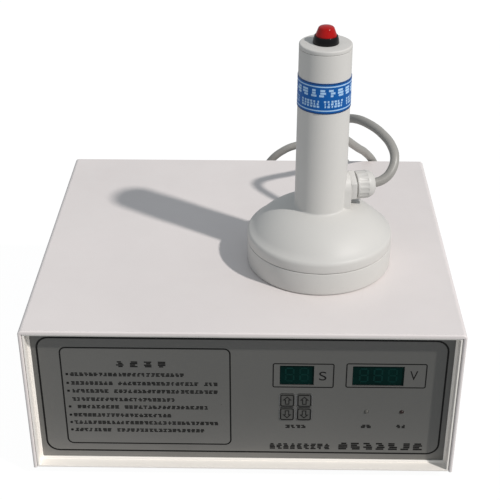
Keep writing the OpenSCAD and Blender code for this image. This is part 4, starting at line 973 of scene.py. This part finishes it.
class SEALER_OT_label(bpy.types.Operator):
    """Makes the blue label round the handle with pale lines and short bars"""
    bl_idname = "sealer.label"
    bl_label = "Label"

    def execute(self, context):
        place = Matrix.Translation(HEAD)
        top = LABEL_LOW + LABEL_H
        low, high = handle_radius(LABEL_LOW), handle_radius(top)
        band = turned(((low + LABEL_GLUE, LABEL_LOW), (low + LABEL_T, LABEL_LOW), (high + LABEL_T, top),
                       (high + LABEL_GLUE, top)))
        piece(moved(band, place), "label_blue_band", "label_blue_film", nodes=["label_band"])
        for name, look, lines in (("label_lines", "label_pale_print", LABEL_LINES),
                                  ("label_edges", "label_dark_edge", LABEL_EDGES)):
            rings = gathered(self.arc(LABEL_LOW + z0, LABEL_LOW + z1) for z0, z1 in lines)
            piece(moved(rings, place), name, look)
        draw = random.Random(12)
        signs = []
        for count, pitch, start, z, height, width, gap in LABEL_ROWS:
            for k in range(count):
                if not gap or k % gap:
                    signs += self.sign(draw, start + k * pitch, LABEL_LOW + z, height, width)
        piece(moved(gathered(signs), place), "label_bars", "label_pale_print")
        return {"FINISHED"}

    def arc(self, z0, z1, start=0, sweep=360):
        """A curved patch on the label, from one height to another, over part of the way round."""
        bm = bmesh.new()
        bm.edges.new([bm.verts.new(((handle_radius(z) + LABEL_T + LABEL_PRINT_LIFT) * MM, 0, z * MM))
                      for z in (z0, z1)])
        spun(bm, max(1, round(sizes().turns * sweep / 360)), sweep)
        for face in bm.faces:
            middle = face.calc_center_median()
            if face.normal.dot(Vector((middle.x, middle.y, 0))) < 0:
                face.normal_flip()
        bmesh.ops.solidify(bm, geom=list(bm.faces), thickness=-LABEL_PRINT_T * MM)
        bmesh.ops.recalc_face_normals(bm, faces=bm.faces)
        return moved(bm, turn(start, "Z"))

    def sign(self, draw, angle, z, height, width):
        """One sign: level bars of chance lengths, one above another."""
        parts = []
        for k in range(3):
            low = z + height * (k + 0.08) / 3
            left, right = (width / 2 * draw.choice((1.0, 1.0, 0.7, 0.4)) for _ in range(2))
            parts.append(self.arc(low, low + height * 0.26, angle - left, left + right))
        return parts


class SEALER_OT_button(bpy.types.Operator):
    """Makes the red button and its black collar"""
    bl_idname = "sealer.button"
    bl_label = "Button"

    def execute(self, context):
        place = Matrix.Translation(HEAD + Vector((0, 0, HANDLE_H * MM)))
        collar, lens = (moved(turned(outline, BUTTON_STEPS), place) for outline in (COLLAR_OUTLINE, LENS_OUTLINE))
        piece(collar, "button_collar_finish", "black_gloss_plastic", nodes=["button_collar"])
        piece(lens, "button_lens_finish", "button_red_lens", "button", ["button_lens"])
        return {"FINISHED"}


# Glands, along Z from their mounting face

HEX_FLAT, HEX_T, NECK_R, NUT_FROM, NUT_R, GLAND_LEN = 10, 4.5, 8.0, 5.6, 9.7, 19.0
CROWN = GLAND_LEN - 5.5
BODY_OUTLINE = ((4.15, -9), (7.5, -9, 0.4), (7.5, 0.5), (NECK_R, 0.5), (NECK_R, 10.1), (4.15, 10.1))
NUT_OUTLINE = ((8.1, NUT_FROM), (NUT_R, NUT_FROM, 0.35), (NUT_R, NUT_FROM + 1.3), (NUT_R, NUT_FROM + 1.7),
               (NUT_R, CROWN - 0.6), (NUT_R, CROWN - 0.2), (NUT_R, CROWN + 0.4), (NUT_R - 0.5, CROWN + 2),
               (NUT_R - 1.5, CROWN + 3.8), (NUT_R - 2.7, CROWN + 5), (NUT_R - 4, GLAND_LEN, 0.3),
               (3.6, GLAND_LEN, 0.4), (3.6, 11), (8.1, 10.4))
FLUTES, FLUTE_STEPS = 16, 6
# How deep the nut is cut at the steps of a flute, as a share of its radius
FLUTE_CUT = {0: 0.04, 1: 0.028, 5: 0.028}


class SEALER_OT_glands(bpy.types.Operator):
    """Makes the two cable glands, each a hexagon body and a fluted, domed nut"""
    bl_idname = "sealer.glands"
    bl_label = "Glands"

    def execute(self, context):
        stand = turn(90, "Y")
        head = Matrix.Translation(HEAD) @ turn(GLAND_TURN, "Z") @ shift(BOSS_FACE, 0, GLAND_H) @ stand
        rear = Matrix.Translation(on_rear("rear_gland_nut")) @ turn(90, "Z") @ stand
        for name, place in (("head_gland", head), ("rear_gland", rear)):
            piece(moved(self.body(), place), name + "_body_finish", "gland_white_nylon", nodes=[name + "_body"])
            piece(moved(self.nut(), place), name + "_nut_finish", "gland_white_nylon", nodes=[name + "_nut"])
        return {"FINISHED"}

    def body(self):
        bm = moved(rod(6, HEX_FLAT / math.cos(math.pi / 6), HEX_T), shift(0, 0, HEX_T / 2) @ turn(90, "Z"))
        softened(bm, list(bm.edges), 0.45, 3)
        return joined(bm, turned(BODY_OUTLINE, 48))

    def nut(self):
        steps = FLUTES * FLUTE_STEPS
        bm = turned(NUT_OUTLINE, steps)
        for v in bm.verts:
            r = math.hypot(v.co.x, v.co.y)
            if abs(r - NUT_R * MM) < 1e-6 and NUT_FROM + 1.5 < v.co.z / MM < CROWN - 0.4:
                step = round(math.atan2(v.co.y, v.co.x) / (2 * math.pi) * steps) % FLUTE_STEPS
                v.co.xy *= 1 - FLUTE_CUT.get(step, 0)
        return bm


# Rear fittings. The fan's numbers are along Z from the rear face.

ROCKER_AT, ROCKER_TILT = (-8, 253, 72), 9
ROCKER_FACE_TILT, MARK_OUT, MARK_UP = 9.93, 2.5, 4
RING_OUTLINE = ((1.2, -0.1), (1.7, -0.1), (1.7, 0.05), (1.2, 0.05))
STROKE_LOW, STROKE_HIGH = (-0.3, -0.1, -1.7), (0.3, 0.05, 1.7)
FAN_CORNERS = [(x, y) for x in (-35.75, 35.75) for y in (-35.75, 35.75)]
# Dark crosses of painted shade on the fan screws: arm length, arm width, lower and upper height
CROSS_L, CROSS_W, CROSS_LOW, CROSS_HIGH = 1.7, 0.35, 4.1, 4.23
GUARD_R, GUARD_PITCH, GUARD_RINGS, GUARD_LIFT, GUARD_WIRE = 38, 8.5, 4, 2.4, 1.0
ROD_R, ROD_L, ROD_LIFT = 0.9, 95, 1.3
EYE_R, EYE_WIRE, EYE_LIFT = 3.0, 0.95, 1.0


def on_rear(node):
    """The place on the rear face that lies behind the middle of a node."""
    middle = middle_of(node)
    return Vector((middle.x, COVER_HIGH.y, middle.z))


class SEALER_OT_rear(bpy.types.Operator):
    """Finishes the rear panel, the mains inlet, the power switch and the fuse holder"""
    bl_idname = "sealer.rear"
    bl_label = "Rear panel"

    def execute(self, context):
        for node, look, radius in (
            ("rear_panel", "case_powder_paint", 0.2), ("mains_inlet", "black_moulded_plastic", 0.3),
            ("inlet_pins", "plated_steel", 0.3), ("power_switch", "black_moulded_plastic", 0.3),
            ("power_rocker", "black_gloss_plastic", 0.4), ("fuse_holder", "black_moulded_plastic", 0.2),
            ("rear_gland_locknut", "gland_white_nylon", 0.3),
        ):
            dressed(node, look, radius)
        self.marks()
        return {"FINISHED"}

    def marks(self):
        """A stroke on the upper face of the rocker and a ring on the lower one."""
        ring = moved(turned(RING_OUTLINE, 32), turn(-90, "X"))
        marks = gathered(moved(mark, shift(0, MARK_OUT, side * MARK_UP) @ turn(-ROCKER_FACE_TILT * side, "X"))
                         for side, mark in ((1, block(STROKE_LOW, STROKE_HIGH)), (-1, ring)))
        place = Matrix.Translation(at(*ROCKER_AT)) @ turn(-ROCKER_TILT, "X")
        piece(moved(marks, place), "rocker_marks", "gland_white_nylon", "rocker")


class SEALER_OT_fan(bpy.types.Operator):
    """Makes the fan's frame, rotor, wire guard and screws"""
    bl_idname = "sealer.fan"
    bl_label = "Fan"

    def execute(self, context):
        dressed("fan_frame", "black_moulded_plastic", 0.3)
        dressed("fan_rotor", "black_moulded_plastic", 0.2)
        place = Matrix.Translation(on_rear("fan_frame")) @ turn(-90, "X")
        piece(moved(self.guard(), place), "fan_guard_wires", "bright_guard_wire", nodes=["fan_guard"])
        dressed("fan_screws", "plated_steel")
        # painted shade: dark crosses stand in for the shade inside the screws' cross recesses
        piece(moved(self.recesses(), place), "fan_screw_recesses", "black_moulded_plastic")
        return {"FINISHED"}

    def recesses(self):
        """Painted shade: a dark cross on each screw's head, where its cross recess lies in shade."""
        return gathered(block((x - a, y - b, CROSS_LOW), (x + a, y + b, CROSS_HIGH))
                        for x, y in FAN_CORNERS for a, b in ((CROSS_L, CROSS_W), (CROSS_W, CROSS_L)))

    def guard(self):
        """Four wire rings on crossed wires, with an eye at each screw."""
        rings = [self.loop(GUARD_R - k * GUARD_PITCH, GUARD_WIRE, 72, GUARD_LIFT) for k in range(GUARD_RINGS)]
        rods = [moved(rod(12, ROD_R, ROD_L), shift(0, 0, ROD_LIFT) @ turn(angle, "Z") @ turn(90, "Y"))
                for angle in (45, 135)]
        eyes = [moved(self.loop(EYE_R, EYE_WIRE, 28, EYE_LIFT), shift(x, y, 0)) for x, y in FAN_CORNERS]
        return gathered(rings + rods + eyes)

    def loop(self, radius, wire, steps, height):
        """A ring of round wire about Z."""
        bm = bmesh.new()
        bmesh.ops.create_circle(bm, cap_ends=False, segments=10, radius=wire * MM)
        return spun(moved(bm, shift(radius, 0, height) @ turn(90, "X")), steps)


class SEALER_OT_inside(bpy.types.Operator):
    """Gives the pieces inside the case and the head their finishes"""
    bl_idname = "sealer.inside"
    bl_label = "Inside"

    def execute(self, context):
        for look, nodes in (
            ("black_moulded_plastic", ("time_digits", "volt_digits", "key_switches", "power_transistors",
                                       "bridge_rectifier", "button_switch")),
            ("board_green_mask", ("control_board", "power_board")),
            ("plated_steel", ("board_spacers", "button_locknut")),
            ("sink_aluminium", ("heat_sink",)),
            ("capacitor_blue_sleeve", ("filter_capacitors",)),
            ("capacitor_yellow_wrap", ("resonant_capacitor",)),
            ("ferrite_dark_grey", ("transformer_core", "ferrite_bars")),
            ("copper_enamelled", ("transformer_winding", "induction_coil")),
            ("gland_white_nylon", ("coil_former",)),
        ):
            for node in nodes:
                painted(node, look)
        return {"FINISHED"}


STEPS = (
    SEALER_OT_stage, SEALER_OT_cable, SEALER_OT_case, SEALER_OT_front, SEALER_OT_panel_print, SEALER_OT_keys,
    SEALER_OT_head, SEALER_OT_label, SEALER_OT_button, SEALER_OT_glands, SEALER_OT_rear, SEALER_OT_fan,
    SEALER_OT_inside)


class SEALER_PT_pieces(bpy.types.Panel):
    """Lists the sealer's pieces and settings"""
    bl_idname = "SEALER_PT_pieces"
    bl_label = "Sealer"
    bl_space_type = "VIEW_3D"
    bl_region_type = "UI"
    bl_category = "Sealer"

    def draw(self, context):
        for step in STEPS:
            self.layout.operator(step.bl_idname)
        for group in (context.scene.sealer_sizes, context.scene.sealer_colours):
            for name in group.__annotations__:
                self.layout.prop(group, name)


CLASSES = (SealerColours, SealerSizes, *STEPS, SEALER_PT_pieces)


def register():
    for cls in CLASSES:
        bpy.utils.register_class(cls)
    bpy.types.Scene.sealer_colours = PointerProperty(type=SealerColours)
    bpy.types.Scene.sealer_sizes = PointerProperty(type=SealerSizes)


def unregister():
    del bpy.types.Scene.sealer_sizes
    del bpy.types.Scene.sealer_colours
    for cls in reversed(CLASSES):
        bpy.utils.unregister_class(cls)


def main():
    register()
    for step in STEPS:
        area, name = step.bl_idname.split(".")
        getattr(getattr(bpy.ops, area), name)()
    bpy.context.view_layer.update()


if __name__ == "__main__":
    main()
